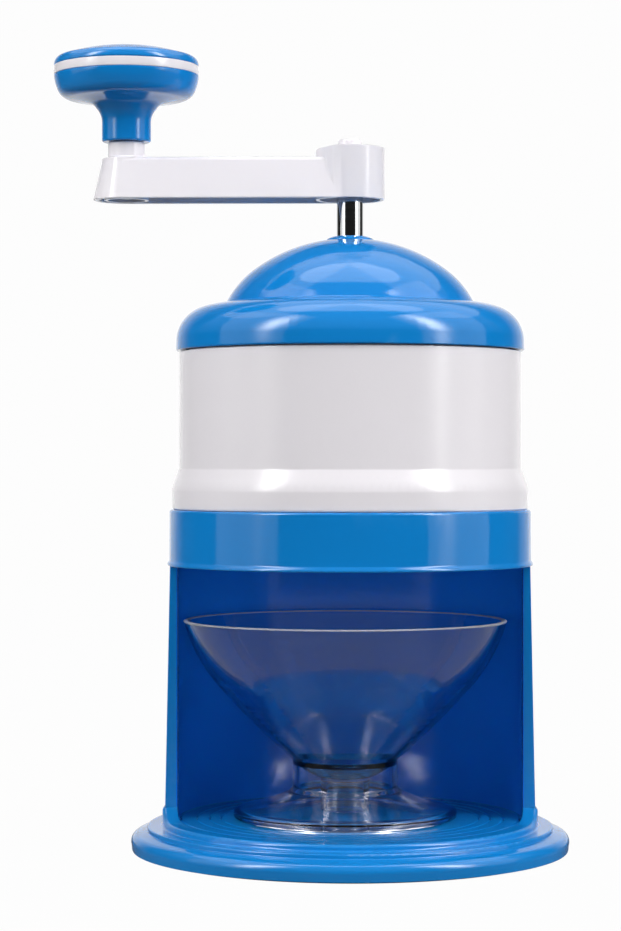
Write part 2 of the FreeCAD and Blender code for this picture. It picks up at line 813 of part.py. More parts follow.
def make_lid():
    """Domed lid: boss, dome, brim and skirt. Inside: the shaft's guide tube, the spring's seat, three lugs."""
    body = new_body("lid")
    w = D.lid_wall
    outer = lid_outer()
    boss_top = outer[0][0][1] + D.boss_height
    points = [(D.shaft_radius + 0.5, boss_top), (lid_boss_radius - 0.9, boss_top - 0.55, 0.12)]
    points.append((lid_boss_radius, outer[0][0][1] + 0.1, 0.12))
    points += [(*point, rise) if rise else point for point, _, rise in outer]
    points += [(lid_radius, lid_bottom + 0.3), (lid_radius - 0.3, lid_bottom), (skirt_inner, lid_bottom)]
    inner = [(inset(point, facing, w), rise) for point, facing, rise in outer]
    skirt_top = inner[5][0][1]
    points.append((skirt_inner, skirt_top))
    # an inner arc is drawn back from its far end, and stands out from its chord by less than the outer one
    points.append((*inner[4][0], -1.35))
    points.append((*inner[3][0], -0.3))
    points.append(inner[2][0])
    points.append((*inner[1][0], -0.7))
    seat = coil_radius + 2.4
    points.append((seat, spring_top + 0.9, -0.75))
    points.append((seat, spring_top + 0.1))
    points.append((tube_radius, spring_top + 0.1))
    points.append((tube_radius, bush_bottom))
    points.append((bush_radius + 0.05, bush_bottom))
    points.append((bush_radius + 0.05, bush_bottom + D.bush_length + 0.1))
    points.append((D.shaft_radius + 0.5, bush_bottom + D.bush_length + 0.1))
    revolve(body, outline(new_sketch(body, "XZ_Plane"), points))
    lug = rectangle(new_sketch(body, "YZ_Plane"), skirt_inner - D.lug_depth, skirt_inner + 0.5,
                    lid_bottom + 0.4, lid_bottom + 0.4 + D.lug_thickness)
    polar(body, [revolve(body, lug, Angle=D.lug_angle, Midplane=True)], 3)
    return body


def make_shaft_bush():
    """Flanged plain bearing of the shaft, pressed into the lid's guide tube from below."""
    body = new_body("shaft_bush")
    bore = D.shaft_radius + D.shaft_fit
    revolve(body, outline(new_sketch(body, "XZ_Plane"), [
        (bore, bush_bottom - 1.2),
        (bush_radius + 1.4, bush_bottom - 1.2),
        (bush_radius + 1.4, bush_bottom),
        (bush_radius, bush_bottom),
        (bush_radius, bush_bottom + D.bush_length - 0.5),
        (bush_radius - 0.5, bush_bottom + D.bush_length),
        (bore, bush_bottom + D.bush_length),
    ]))
    return body


def make_feed_spring():
    """Compression spring between the lid and the presser's washer."""
    body = new_body("feed_spring")
    section = circle(new_sketch(body, "XZ_Plane"), coil_radius, spring_bottom + D.wire_radius, D.wire_radius)
    helix = body.newObject("PartDesign::AdditiveHelix", "feed_spring_helix")
    helix.Profile = section
    helix.ReferenceAxis = (section, ["V_Axis"])
    helix.Mode = "height-turns-angle"
    bind(helix, "Height", spring_top - spring_bottom - 2 * D.wire_radius)
    bind(helix, "Turns", D.coil_turns)
    helix.Reversed = False
    section.Visibility = False
    doc.recompute()
    return body


def make_spring_washer():
    """Washer between the spring and the presser's hub. It stays still while the hub turns under it."""
    body = new_body("spring_washer")
    bottom = presser_hub_top + 0.1
    revolve(body, rectangle(new_sketch(body, "XZ_Plane"), D.shaft_radius + D.shaft_fit + 0.04,
                            coil_radius + 2, bottom, spring_bottom - 0.05))
    return body


def make_shaft():
    """Polished steel shaft. Both ends have a flat, the lower one is threaded and the upper one is tapped."""
    body = new_body("shaft")
    r = D.shaft_radius
    s = D.spindle_radius
    revolve(body, outline(new_sketch(body, "XZ_Plane"), [
        (0, shaft_end),
        (s - 1.0, shaft_end),
        (s, shaft_end + 1.0),
        (s, shaft_shoulder),
        (r, shaft_shoulder),
        (r, shaft_top - 0.4),
        (r - 0.4, shaft_top),
        (0, shaft_top),
    ]))
    lower = new_sketch(body, "XY_Plane", presser_bottom)
    rectangle(lower, -r - 1, r + 1, s * 0.7, r + 1)
    pocket(body, lower, shaft_shoulder - presser_bottom, Reversed=True)
    upper = new_sketch(body, "XY_Plane", shaft_top)
    rectangle(upper, -r - 1, r + 1, r * 0.7, r + 1)
    pocket(body, upper, 7)
    pocket(body, circle(new_sketch(body, "XY_Plane", shaft_top), 0, 0, 2.05), 11)
    return body


def d_outline(sketch, radius, flat):
    """A round hole with one flat side."""
    half = root(radius * radius - flat * flat)
    return outline(sketch, [(-half, flat), (half, flat, -(radius + flat))])


def make_presser():
    """Spiked disc that holds the ice and turns it."""
    body = new_body("presser")
    rim = presser_radius
    hub = D.presser_hub_radius
    revolve(body, outline(new_sketch(body, "XZ_Plane"), [
        (0, presser_bottom),
        (rim - 0.4, presser_bottom),
        (rim, presser_bottom + 0.4),
        (rim, presser_top + 1.6),
        (rim - 1.8, presser_top + 1.6),
        (rim - 2.4, presser_top),
        (hub + 1.2, presser_top),
        (hub, presser_top + 1.2),
        (hub, presser_hub_top - 0.4),
        (hub - 0.4, presser_hub_top),
        (0, presser_hub_top),
    ]))
    bore = D.shaft_radius + 0.05
    pocket(body, circle(new_sketch(body, "XY_Plane", presser_hub_top), 0, 0, bore),
           presser_hub_top - shaft_shoulder)
    drive = new_sketch(body, "XY_Plane", presser_hub_top)
    d_outline(drive, D.spindle_radius + 0.05, D.spindle_radius * 0.7 + 0.05)
    pocket(body, drive, presser_hub_top - presser_bottom + 1)
    # spikes in two rings, each a four-sided pyramid with a blunt tip
    for radius, count, turn in ((presser_radius * 0.45, 6, 0), (presser_radius * 0.83, 12, 15)):
        root_sketch = new_sketch(body, "XY_Plane", presser_bottom + 0.2, turn)
        rectangle(root_sketch, radius - 2.2, radius + 2.2, -1.9, 1.9)
        tip = new_sketch(body, "XY_Plane", presser_bottom - D.spike_length, turn)
        rectangle(tip, radius - 0.4, radius + 0.4, -0.4, 0.4)
        spike = feature(body, "AdditiveLoft", root_sketch, True, Sections=[(tip, [""])])
        tip.Visibility = False
        polar(body, [spike], count)
    rib = rectangle(new_sketch(body, "XY_Plane", presser_top - 0.2), hub - 0.5, rim - 1, -0.8, 0.8)
    polar(body, [pad(body, rib, 1.6)], 6)
    return body


def make_presser_washer():
    """Washer between the presser and its nut."""
    body = new_body("presser_washer")
    revolve(body, rectangle(new_sketch(body, "XZ_Plane"), D.spindle_radius + 0.1, 6.5, nut_top, washer_top))
    return body


def hexagon(sketch, x, y, flats):
    """A hexagon of that width across its flats."""
    corner = flats / math.sqrt(3)
    points = []
    for i in range(6):
        angle = math.radians(60 * i)
        points.append((x + corner * round(math.cos(angle), 9), y + corner * round(math.sin(angle), 9)))
    return outline(sketch, points)


def make_presser_nut():
    """Nut on the shaft's lower end."""
    body = new_body("presser_nut")
    pad(body, hexagon(new_sketch(body, "XY_Plane", nut_bottom), as_size(0), as_size(0), as_size(10.0)),
        nut_top - nut_bottom)
    pocket(body, circle(new_sketch(body, "XY_Plane", nut_top), 0, 0, D.spindle_radius + 0.05), 10)
    return body


def stadium(sketch, x0, x1, radius):
    """Two half circles joined by straight sides, centred on the sketch's horizontal axis."""
    return outline(sketch, [(x0, -radius, -radius), (x1, -radius), (x1, radius, -radius), (x0, radius)])


def make_crank_arm():
    """Arm moulded with a draft, hollow underneath, with the shaft's hub at one end and the knob's boss."""
    body = new_body("crank_arm")
    reach = -D.arm_reach
    bottom = arm_bottom
    arm = stadium(new_sketch(body, "XY_Plane", bottom), reach, as_size(0), D.arm_radius)
    pad(body, arm, D.arm_height, TaperAngle=-D.arm_draft)
    # the long top edges are rounded right along
    shoulder = new_sketch(body, "YZ_Plane", 40)
    slope = math.tan(math.radians(DIMENSIONS["arm_draft"]))
    edge = D.arm_edge
    top_half = D.arm_radius - D.arm_height * slope
    for side in (1, -1):
        outline(shoulder, [
            (side * (top_half - edge), arm_top + 1),
            (side * (top_half - edge), arm_top),
            (side * (top_half + edge * slope), arm_top - edge, side * edge * 0.33),
            (side * (D.arm_radius + 2), arm_top - edge),
            (side * (D.arm_radius + 2), arm_top + 1),
        ])
    pocket(body, shoulder, 150)
    channel = stadium(new_sketch(body, "XY_Plane", bottom), reach, as_size(0), D.arm_radius - D.arm_wall)
    pocket(body, channel, D.arm_height - 2, Reversed=True, TaperAngle=as_size(-18))
    # hub
    hub = D.hub_radius
    pad(body, circle(new_sketch(body, "XY_Plane", bottom), 0, 0, hub), hub_top - bottom)
    recess = new_sketch(body, "XY_Plane", bottom)
    circle(recess, 0, 0, hub - D.hub_wall)
    circle(recess, 0, 0, 6.4)
    pocket(body, recess, hub_top - bottom - 4.5, Reversed=True)
    pocket(body, circle(new_sketch(body, "XY_Plane", bottom), 0, 0, 7), 2.4, Reversed=True)
    flat = D.shaft_radius * 0.7 + 0.05
    lower_bore = circle(new_sketch(body, "XY_Plane", bottom), 0, 0, D.shaft_radius + 0.05)
    pocket(body, lower_bore, shaft_top - 6.9 - bottom, Reversed=True)
    drive = d_outline(new_sketch(body, "XY_Plane", bottom), D.shaft_radius + 0.05, flat)
    pocket(body, drive, shaft_top + 0.05 - bottom, Reversed=True)
    plug_seat = circle(new_sketch(body, "XY_Plane", hub_top), 0, 0, D.plug_radius + 0.05)
    pocket(body, plug_seat, hub_top - hub_web_top)
    pocket(body, circle(new_sketch(body, "XY_Plane", hub_top), 0, 0, 2.2), 8)
    # the hub's top falls away towards the arm
    falling = new_sketch(body, "XZ_Plane", 20)
    outline(falling, [
        (-D.plug_radius, hub_top + 1),
        (-D.plug_radius, hub_top),
        (-hub - 1, hub_top - 0.8),
        (-hub - 1, hub_top + 1),
    ])
    pocket(body, falling, 40)
    # knob boss: a ring below, a sleeve above and the bolt's hole through both
    ring = D.boss_ring_radius
    pad(body, circle(new_sketch(body, "XY_Plane", bottom), reach, 0, ring), D.arm_height - 1)
    pocket(body, circle(new_sketch(body, "XY_Plane", bottom), reach, 0, ring - 1.2), 5.5, Reversed=True)
    pad(body, circle(new_sketch(body, "XY_Plane", arm_top - 4), reach, 0, ring + 0.6), 4)
    sleeve = axis_line(new_sketch(body, "XZ_Plane"), reach)
    radius = D.boss_sleeve_radius
    outline(sleeve, [
        (reach, arm_top - 1),
        (reach + radius + 0.6, arm_top - 1),
        (reach + radius + 0.6, arm_top),
        (reach + radius, arm_top + 0.6),
        (reach + radius, sleeve_top - 0.3),
        (reach + radius - 0.3, sleeve_top),
        (reach, sleeve_top),
    ])
    revolve(body, sleeve)
    pocket(body, circle(new_sketch(body, "XY_Plane", sleeve_top), reach, 0, 2.05), 30)
    return body


def make_hub_screw():
    """Pan-head screw that holds the arm on the shaft, under the plug."""
    body = new_body("hub_screw")
    revolve(body, outline(new_sketch(body, "XZ_Plane"), [
        (0, shaft_top - 9),
        (1.6, shaft_top - 9),
        (2.0, shaft_top - 8.6),
        (2.0, hub_web_top),
        (3.4, hub_web_top),
        (3.4, hub_web_top + 1.2),
        (2.2, hub_web_top + 2.1, -0.3),
        (1.1, hub_web_top + 2.1),
        (0.9, hub_web_top + 1.1),
        (0, hub_web_top + 1.1),
    ]))
    return body


def make_hub_plug():
    """Plug that covers the hub's screw."""
    body = new_body("hub_plug")
    r = D.plug_radius
    revolve(body, outline(new_sketch(body, "XZ_Plane"), [
        (0, hub_web_top + 2.6),
        (r, hub_web_top + 2.6),
        (r, hub_top + D.plug_proud - 0.6),
        (r - 0.6, hub_top + D.plug_proud, -0.18),
        (0, hub_top + D.plug_proud),
    ]))
    return body


def make_knob_bolt():
    """Shoulder bolt that is the knob's axle, with its head inside the knob."""
    body = new_body("knob_bolt")
    x = -D.arm_reach
    r = D.bolt_shoulder_radius
    end = arm_bottom + 0.6
    sketch = axis_line(new_sketch(body, "XZ_Plane"), x)
    outline(sketch, [
        (x, end),
        (x + 1.6, end),
        (x + 2.0, end + 0.4),
        (x + 2.0, sleeve_top),
        (x + r, sleeve_top),
        (x + r, bolt_head_bottom),
        (x + 5.5, bolt_head_bottom),
        (x + 5.5, bolt_head_bottom + 1.2),
        (x + 3.8, bolt_head_bottom + 2.1, -0.3),
        (x + 1.2, bolt_head_bottom + 2.1),
        (x + 1.0, bolt_head_bottom + 1.0),
        (x, bolt_head_bottom + 1.0),
    ])
    revolve(body, sketch)
    return body


def make_knob_nut():
    """Nut of the knob's axle, in the ring under the arm's end."""
    body = new_body("knob_nut")
    top = arm_bottom + 5.5
    x = -D.arm_reach
    pad(body, hexagon(new_sketch(body, "XY_Plane", top - 3.2), x, as_size(0), as_size(7.0)), 3.2)
    pocket(body, circle(new_sketch(body, "XY_Plane", top), x, 0, 2.05), 5)
    return body


def make_knob_grip():
    """Lower part of the knob: neck, flare and rounded underside, with the axle's bore."""
    body = new_body("knob_grip")
    x = -D.arm_reach
    z = neck_bottom
    n = D.neck_width
    k = D.knob_radius
    top = z + D.band_bottom
    bore = D.bolt_shoulder_radius + D.shaft_fit
    sketch = axis_line(new_sketch(body, "XZ_Plane"), x)
    outline(sketch, [
        (x + bore, z),
        (x + n - 0.4, z),
        (x + n, z + 0.4),
        (x + n, z + 6.2),
        (x + n + 1.7, z + 10.4, 0.42),
        (x + n + 4.2, z + 12.2, 0.35),
        (x + k - 5.0, z + 13.3, 0.12),
        (x + k - 0.9, z + 16.6, -0.85),
        (x + k, top - 0.2, -0.16),
        (x + k - 0.2, top),
        (x + k - 3.0, top),
        (x + k - 3.0, top + D.band_height + 1),
        (x + k - 4.8, top + D.band_height + 1),
        (x + k - 4.8, z + 16.9),
        (x + bore, z + 16.9),
    ])
    revolve(body, sketch)
    return body


def make_knob_band():
    """White ring between the knob's two halves."""
    body = new_body("knob_band")
    x = -D.arm_reach
    bottom = neck_bottom + D.band_bottom
    k = D.knob_radius
    sketch = axis_line(new_sketch(body, "XZ_Plane"), x)
    outline(sketch, [
        (x + k - 2.95, bottom),
        (x + k, bottom),
        (x + k + 0.1, bottom + D.band_height / 2),
        (x + k, bottom + D.band_height),
        (x + k - 2.95, bottom + D.band_height),
    ])
    revolve(body, sketch)
    return body


def make_knob_cap():
    """Domed cap of the knob."""
    body = new_body("knob_cap")
    x = -D.arm_reach
    z = neck_bottom
    bottom = z + D.band_bottom + D.band_height
    k = D.knob_radius
    crown = z + D.knob_height
    sketch = axis_line(new_sketch(body, "XZ_Plane"), x)
    shoulder = 2.6
    drop = as_size(3.1)
    wall = 2.4
    inner_shoulder = 7.0
    inner_drop = crown - wall - bottom - 1.7
    outline(sketch, [
        (x, crown - wall),
        (x + CROWN_FLAT, crown - wall),
        (x + k - inner_shoulder, bottom + 1.7, crown_rise(k - inner_shoulder - CROWN_FLAT, inner_drop)),
        (x + k - 2.95, bottom + 1.3),
        (x + k - 2.95, bottom),
        (x + k - 0.2, bottom),
        (x + k, bottom + 0.2),
        (x + k - shoulder, crown - drop, -0.85),
        (x + CROWN_FLAT, crown, -crown_rise(k - shoulder - CROWN_FLAT, drop)),
        (x, crown),
    ])
    revolve(body, sketch)
    return body


def check_document():
    """Stop on a failed object or a sub-part without a sound solid."""
    for obj in doc.Objects:
        if {"Invalid", "Error"} & set(obj.State):
            raise RuntimeError(f"{obj.Label} failed: {obj.State}")
    for body in subparts:
        if body.Shape.isNull() or not body.Shape.isValid() or not body.Shape.Solids:
            raise RuntimeError(f"{body.Label} has no sound solid")


for make in (
    make_base,
    make_non_slip_ring,
    make_housing,
    make_ice_barrel,
    make_blade_disc,
    make_blade,
    make_blade_screws,
    make_disc_screws,
    make_bowl,
    make_lid,
    make_shaft_bush,
    make_feed_spring,
    make_spring_washer,
    make_shaft,
    make_presser,
    make_presser_washer,
    make_presser_nut,
    make_crank_arm,
    make_hub_screw,
    make_hub_plug,
    make_knob_bolt,
    make_knob_nut,
    make_knob_grip,
    make_knob_band,
    make_knob_cap,
):
    make()

doc.recompute()
check_document()
os.makedirs("parts", exist_ok=True)
for body in subparts:
    body.Placement = Placement()
    body.Shape.exportStep(f"parts/{body.Label}.step")
    print(f"{body.Label:16s} {len(body.Shape.Solids)} solids {body.Shape.Volume:10.1f} mm3")
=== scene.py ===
"""A hand-cranked ice shaver: its finishes, its finely rounded pieces and the studio that it stands in.

The file is laid out as an add-on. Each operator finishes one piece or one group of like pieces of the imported
model, and the last one sets the stage. Everything is in metres, with the crank's axis on Z and the table at
zero.
"""
import math

import bmesh
import bpy
from bpy.props import FloatProperty, FloatVectorProperty, IntProperty, PointerProperty
from bpy.types import Operator, Panel, PropertyGroup
from mathutils import Matrix, Vector


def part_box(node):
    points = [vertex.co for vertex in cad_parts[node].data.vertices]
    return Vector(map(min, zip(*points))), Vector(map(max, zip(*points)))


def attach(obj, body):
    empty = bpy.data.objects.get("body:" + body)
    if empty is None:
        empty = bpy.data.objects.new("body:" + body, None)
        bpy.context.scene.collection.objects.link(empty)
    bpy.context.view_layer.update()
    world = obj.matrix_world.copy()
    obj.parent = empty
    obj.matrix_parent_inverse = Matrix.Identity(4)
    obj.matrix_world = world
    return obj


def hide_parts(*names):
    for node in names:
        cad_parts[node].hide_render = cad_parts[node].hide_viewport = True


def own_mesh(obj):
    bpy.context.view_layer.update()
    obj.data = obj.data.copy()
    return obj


bl_info = {
    "name": "Ice Shaver",
    "version": (1, 0, 0),
    "blender": (4, 5, 0),
    "location": "3D View > Sidebar > Ice Shaver",
    "description": "Finishes, rounded pieces and studio of a hand-cranked ice shaver",
    "category": "Object",
}

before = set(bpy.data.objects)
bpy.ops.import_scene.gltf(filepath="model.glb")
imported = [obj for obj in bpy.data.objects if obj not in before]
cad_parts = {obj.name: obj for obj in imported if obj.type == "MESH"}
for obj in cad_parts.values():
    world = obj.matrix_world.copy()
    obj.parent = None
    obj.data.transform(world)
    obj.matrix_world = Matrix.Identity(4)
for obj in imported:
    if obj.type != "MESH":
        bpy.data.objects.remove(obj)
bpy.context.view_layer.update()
MM = 0.001

# points of a mesh that are nearer than this are one point
WELD = 0.002 * MM
# a point that is nearer to a piece's upright axis than this lies on it
ON_AXIS = 10 * WELD
# flat faces that turn by less than this between them become one
FLAT = math.radians(0.8)
# the same for the short edges of an outline
STRAIGHT = math.radians(0.5)
# an edge is rounded, or a corner of an outline, where it turns by more than this
SHARP_EDGE = math.radians(32)
SHARP_CORNER = math.radians(24)
# an edge is shaded smooth up to this turn
SMOOTH = math.radians(38)
# the share of its shorter edge that the rounding of a corner may take
CORNER_ROOM = 0.42
# where outlines are cut round the axis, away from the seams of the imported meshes
SECTION_TURN = math.radians(37)
KNOB_STEPS = 128

# ---------------------------------------------------------------- places


def node_middle(node):
    """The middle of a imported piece's box."""
    low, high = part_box(node)
    return (low + high) / 2


KNOB_X = node_middle("knob_band").x
BOWL_X = node_middle("bowl").x
# what the lamps face
MIDDLE = Vector((0, 0, 130 * MM))
# heights above the table: about half-way up the wall, the collar's lower edge, and the top of the painted
# shade in the bay
WALL_HALF = 50 * MM
COLLAR_BOTTOM = 88.1 * MM
PAINTED_SHADE_TOP = COLLAR_BOTTOM + 6 * MM
# the flare above the barrel's foot as packed, the shoulder that it becomes, and the radii at their ends
FLARE = (111.9 * MM, 116.6 * MM)
SHOULDER = (111.0 * MM, 118.2 * MM)
FLARE_RADII = (55.0 * MM, 52.8 * MM)
# the share of the shoulder's height that is rounded, at its bottom
SHOULDER_BEND = 1 / 3
# how far down the bowl's rim is made cloudy, as a painted highlight along the rim
PAINTED_RIM_DEPTH = 0.4 * MM

WORN_BLUE = (0.12, 0.42, 0.82)
WORN_WHITE = (0.9, 0.9, 0.92)
WORN_NYLON = (0.85, 0.85, 0.84)
WORN_RUBBER = (0.09, 0.09, 0.09)


# ---------------------------------------------------------------- settings


class ShaverColours(PropertyGroup):
    """Colours of the mouldings and metals."""

    blue: FloatVectorProperty(
        name="Blue", description="Stand, lid and knob", subtype="COLOR", size=3,
        default=(0.005, 0.232, 0.65), min=0, max=1,
    )
    # a deeper blue painted on the inside of the bay, as painted shade
    shade_painted_blue: FloatVectorProperty(
        name="Blue for painted shade", description="Inside of the bay", subtype="COLOR", size=3,
        default=(0.009, 0.205, 0.86), min=0, max=1,
    )
    white: FloatVectorProperty(
        name="White", description="Barrel, arm and band", subtype="COLOR", size=3,
        default=(0.89, 0.86, 0.90), min=0, max=1,
    )
    clear: FloatVectorProperty(
        name="Clear", description="Tint of the bowl", subtype="COLOR", size=3,
        default=(0.90, 0.94, 0.99), min=0, max=1,
    )
    nylon: FloatVectorProperty(
        name="Nylon", description="Blade disc, presser and bush", subtype="COLOR", size=3,
        default=(0.60, 0.64, 0.68), min=0, max=1,
    )
    rubber: FloatVectorProperty(
        name="Rubber", description="Ring under the base", subtype="COLOR", size=3,
        default=(0.022, 0.022, 0.024), min=0, max=1,
    )
    chrome: FloatVectorProperty(
        name="Chrome", description="Shaft", subtype="COLOR", size=3,
        default=(0.78, 0.79, 0.80), min=0, max=1,
    )
    steel: FloatVectorProperty(
        name="Steel", description="Blade, spring and fasteners", subtype="COLOR", size=3,
        default=(0.56, 0.56, 0.57), min=0, max=1,
    )


class ShaverSurface(PropertyGroup):
    """How the surfaces are finished."""

    polish: FloatProperty(
        name="Polish", description="Roughness of the glossy mouldings", default=0.08, min=0.02, max=1,
    )
    grain: FloatProperty(
        name="Grain", description="Height of the finest unevenness", default=0.012 * MM, min=0, unit="LENGTH",
    )
    wear: FloatProperty(name="Wear", description="How far edges are rubbed", default=0.25, min=0, max=1)
    edge: FloatProperty(
        name="Edge", description="Rounding of a moulded corner", default=0.35 * MM, min=0, unit="LENGTH",
    )
    steps: IntProperty(name="Steps", description="Facets round a turned piece", default=192, min=24, max=512)


class ShaverStage(PropertyGroup):
    """Camera, floor and lamps."""

    distance: FloatProperty(name="Distance", description="Camera from the axis", default=0.790, unit="LENGTH")
    eye: FloatProperty(name="Eye height", description="Camera above the table", default=0.1206, unit="LENGTH")
    yaw: FloatProperty(
        name="Yaw", description="Camera turned past the axis", default=math.radians(0.887), subtype="ANGLE",
    )
    pitch: FloatProperty(
        name="Pitch", description="Camera turned up", default=math.radians(-0.124), subtype="ANGLE",
    )
    lens: FloatProperty(name="Lens", description="Focal length in millimetres", default=98.6)
    floor: FloatVectorProperty(
        name="Floor", description="Floor and backdrop, as they light the object", subtype="COLOR", size=3,
        default=(0.20, 0.20, 0.20), min=0, max=1,
    )
    ambient: FloatProperty(name="Ambient", description="Light from all round", default=0.25, min=0)


def colours():
    """The colours as they are set."""
    return bpy.context.scene.shaver_colours


def surface():
    """The finish as it is set."""
    return bpy.context.scene.shaver_surface


def stage():
    """The camera, floor and light as they are set."""
    return bpy.context.scene.shaver_stage


# ---------------------------------------------------------------- shader nodes


def fill(tree, socket, value):
    """Link a socket to another one, or set it to a plain value."""
    if isinstance(value, bpy.types.NodeSocket):
        tree.links.new(value, socket)
    else:
        socket.default_value = value


def add(tree, kind, sockets=None, **properties):
    """A new node with its properties set, and its numbered or named sockets filled or linked."""
    node = tree.nodes.new(f"ShaderNode{kind}")
    for name, value in properties.items():
        setattr(node, name, value)
    for key, value in (sockets or {}).items():
        fill(tree, node.inputs[key], value)
    return node


def first_node(tree, kind):
    """The first node of a kind in a tree."""
    return next(node for node in tree.nodes if node.type == kind)


def maths(tree, operation, first, second=0.0, third=0.0):
    """The result of one Math node."""
    return add(tree, "Math", operation=operation, sockets={0: first, 1: second, 2: third}).outputs[0]


def mixed(tree, share, first, second):
    """The colour between two colours. A Mix node takes colours at sockets 6 and 7, and gives one at 2."""
    return add(tree, "Mix", data_type="RGBA", sockets={"Factor": share, 6: first, 7: second}).outputs[2]


def scaled(tree, colour, factor):
    """A colour made lighter or darker."""
    return add(tree, "VectorMath", operation="SCALE", sockets={0: colour, "Scale": factor}).outputs[0]


def remapped(tree, value, source, target):
    """A value carried from one range into another, and kept inside it. A range is (low, high)."""
    ends = {1: source[0], 2: source[1], 3: target[0], 4: target[1]}
    return add(tree, "MapRange", sockets={0: value, **ends}).outputs[0]


def noise(tree, where, scale, detail, roughness=0.5):
    """Noise round a half that changes over a place."""
    sockets = {"Vector": where, "Scale": scale, "Detail": detail, "Roughness": roughness}
    return add(tree, "TexNoise", sockets=sockets).outputs["Fac"]


def object_place(tree):
    """Where a point of a piece is, in metres."""
    return add(tree, "TexCoord").outputs["Object"]


# ---------------------------------------------------------------- shader node groups


def new_group(name, inputs, outputs):
    """An empty shader node group with named sockets. An input is (name, kind, default)."""
    group = bpy.data.node_groups.new(name, "ShaderNodeTree")
    for label, kind, default in inputs:
        socket = group.interface.new_socket(label, in_out="INPUT", socket_type=f"NodeSocket{kind}")
        socket.default_value = default
    for label, kind in outputs:
        group.interface.new_socket(label, in_out="OUTPUT", socket_type=f"NodeSocket{kind}")
    start = group.nodes.new("NodeGroupInput")
    end = group.nodes.new("NodeGroupOutput")
    return group, start.outputs, end.inputs


def shared_group(name, make):
    """A node group that is built once."""
    return bpy.data.node_groups.get(name) or make()


def use_group(tree, group, **values):
    """A group node with its inputs filled or linked."""
    node = tree.nodes.new("ShaderNodeGroup")
    node.node_tree = group
    for name, value in values.items():
        fill(tree, node.inputs[name], value)
    return node


def moulding_group():
    """Moulded plastic: slow drift in the colour, fine scuffs in the polish and an orange-peel height."""
    group, given, out = new_group(
        "Moulding",
        [
            ("Colour", "Color", (0.5, 0.5, 0.5, 1)),
            ("Polish", "Float", 0.15),
            ("Drift", "Float", 0.04),
            ("Scuffs", "Float", 0.06),
        ],
        [("Colour", "Color"), ("Roughness", "Float"), ("Height", "Float")],
    )
    where = object_place(group)
    slow = noise(group, where, 26.0, 3.0)
    drift = maths(group, "MULTIPLY_ADD", slow, 2.0, -1.0)
    change = maths(group, "MULTIPLY_ADD", drift, given["Drift"], 1.0)
    group.links.new(scaled(group, given["Colour"], change), out["Colour"])
    stretched = add(group, "Mapping", sockets={"Vector": where, "Scale": (1.0, 1.0, 0.12)}).outputs[0]
    streak = remapped(group, noise(group, stretched, 900.0, 4.0, 0.65), (0.5, 0.72), (0.0, 1.0))
    cloudy = maths(group, "MULTIPLY", streak, slow)
    rough = maths(group, "MULTIPLY_ADD", cloudy, given["Scuffs"], given["Polish"])
    group.links.new(rough, out["Roughness"])
    group.links.new(noise(group, where, 420.0, 2.0, 0.4), out["Height"])
    return group


def edge_wear_group():
    """Rubbed edges: lets a lighter, duller tone through where the surface is most convex."""
    group, given, out = new_group(
        "Edge wear",
        [
            ("Colour", "Color", (0.5, 0.5, 0.5, 1)),
            ("Worn", "Color", (0.8, 0.8, 0.8, 1)),
            ("Roughness", "Float", 0.2),
            ("Amount", "Float", 0.3),
        ],
        [("Colour", "Color"), ("Roughness", "Float")],
    )
    pointed = add(group, "NewGeometry").outputs["Pointiness"]
    convex = remapped(group, pointed, (0.53, 0.62), (0.0, 1.0))
    broken = noise(group, object_place(group), 240.0, 3.0, 0.6)
    patchy = remapped(group, broken, (0.42, 0.62), (0.15, 1.0))
    mask = maths(group, "MULTIPLY", convex, patchy)
    share = maths(group, "MULTIPLY", mask, given["Amount"])
    group.links.new(mixed(group, share, given["Colour"], given["Worn"]), out["Colour"])
    group.links.new(maths(group, "MULTIPLY_ADD", share, 0.25, given["Roughness"]), out["Roughness"])
    return group


def turned_group():
    """Turned or drawn metal: fine rings round the crank's axis, with a slow change of polish."""
    group, given, out = new_group(
        "Turned metal",
        [
            ("Colour", "Color", (0.6, 0.6, 0.6, 1)),
            ("Polish", "Float", 0.2),
            ("Rings", "Float", 2600.0),
        ],
        [("Colour", "Color"), ("Roughness", "Float"), ("Height", "Float")],
    )
    where = object_place(group)
    part = add(group, "SeparateXYZ", sockets={0: where}).outputs
    flat = add(group, "CombineXYZ", sockets={0: part[0], 1: part[1]}).outputs[0]
    radius = add(group, "VectorMath", operation="LENGTH", sockets={0: flat}).outputs["Value"]
    lathe = maths(group, "MULTIPLY", maths(group, "ADD", radius, part[2]), given["Rings"])
    marks = {"W": lathe, "Scale": 1.0, "Detail": 3.0}
    rings = add(group, "TexNoise", noise_dimensions="1D", sockets=marks).outputs["Fac"]
    tone = maths(group, "MULTIPLY_ADD", rings, 0.10, 0.94)
    group.links.new(scaled(group, given["Colour"], tone), out["Colour"])
    both = maths(group, "MULTIPLY", rings, noise(group, where, 60.0, 2.0))
    group.links.new(maths(group, "MULTIPLY_ADD", both, 0.22, given["Polish"]), out["Roughness"])
    group.links.new(rings, out["Height"])
    return group


# ---------------------------------------------------------------- materials


def new_material(name):
    """A material, its node tree and its Principled shader."""
    material = bpy.data.materials.new(name)
    material.use_nodes = True
    return material, material.node_tree, first_node(material.node_tree, "BSDF_PRINCIPLED")


def bumped(tree, shader, height, distance):
    """Give the shader a bump from a height."""
    bump = add(tree, "Bump", sockets={"Height": height, "Distance": distance})
    tree.links.new(bump.outputs["Normal"], shader.inputs["Normal"])


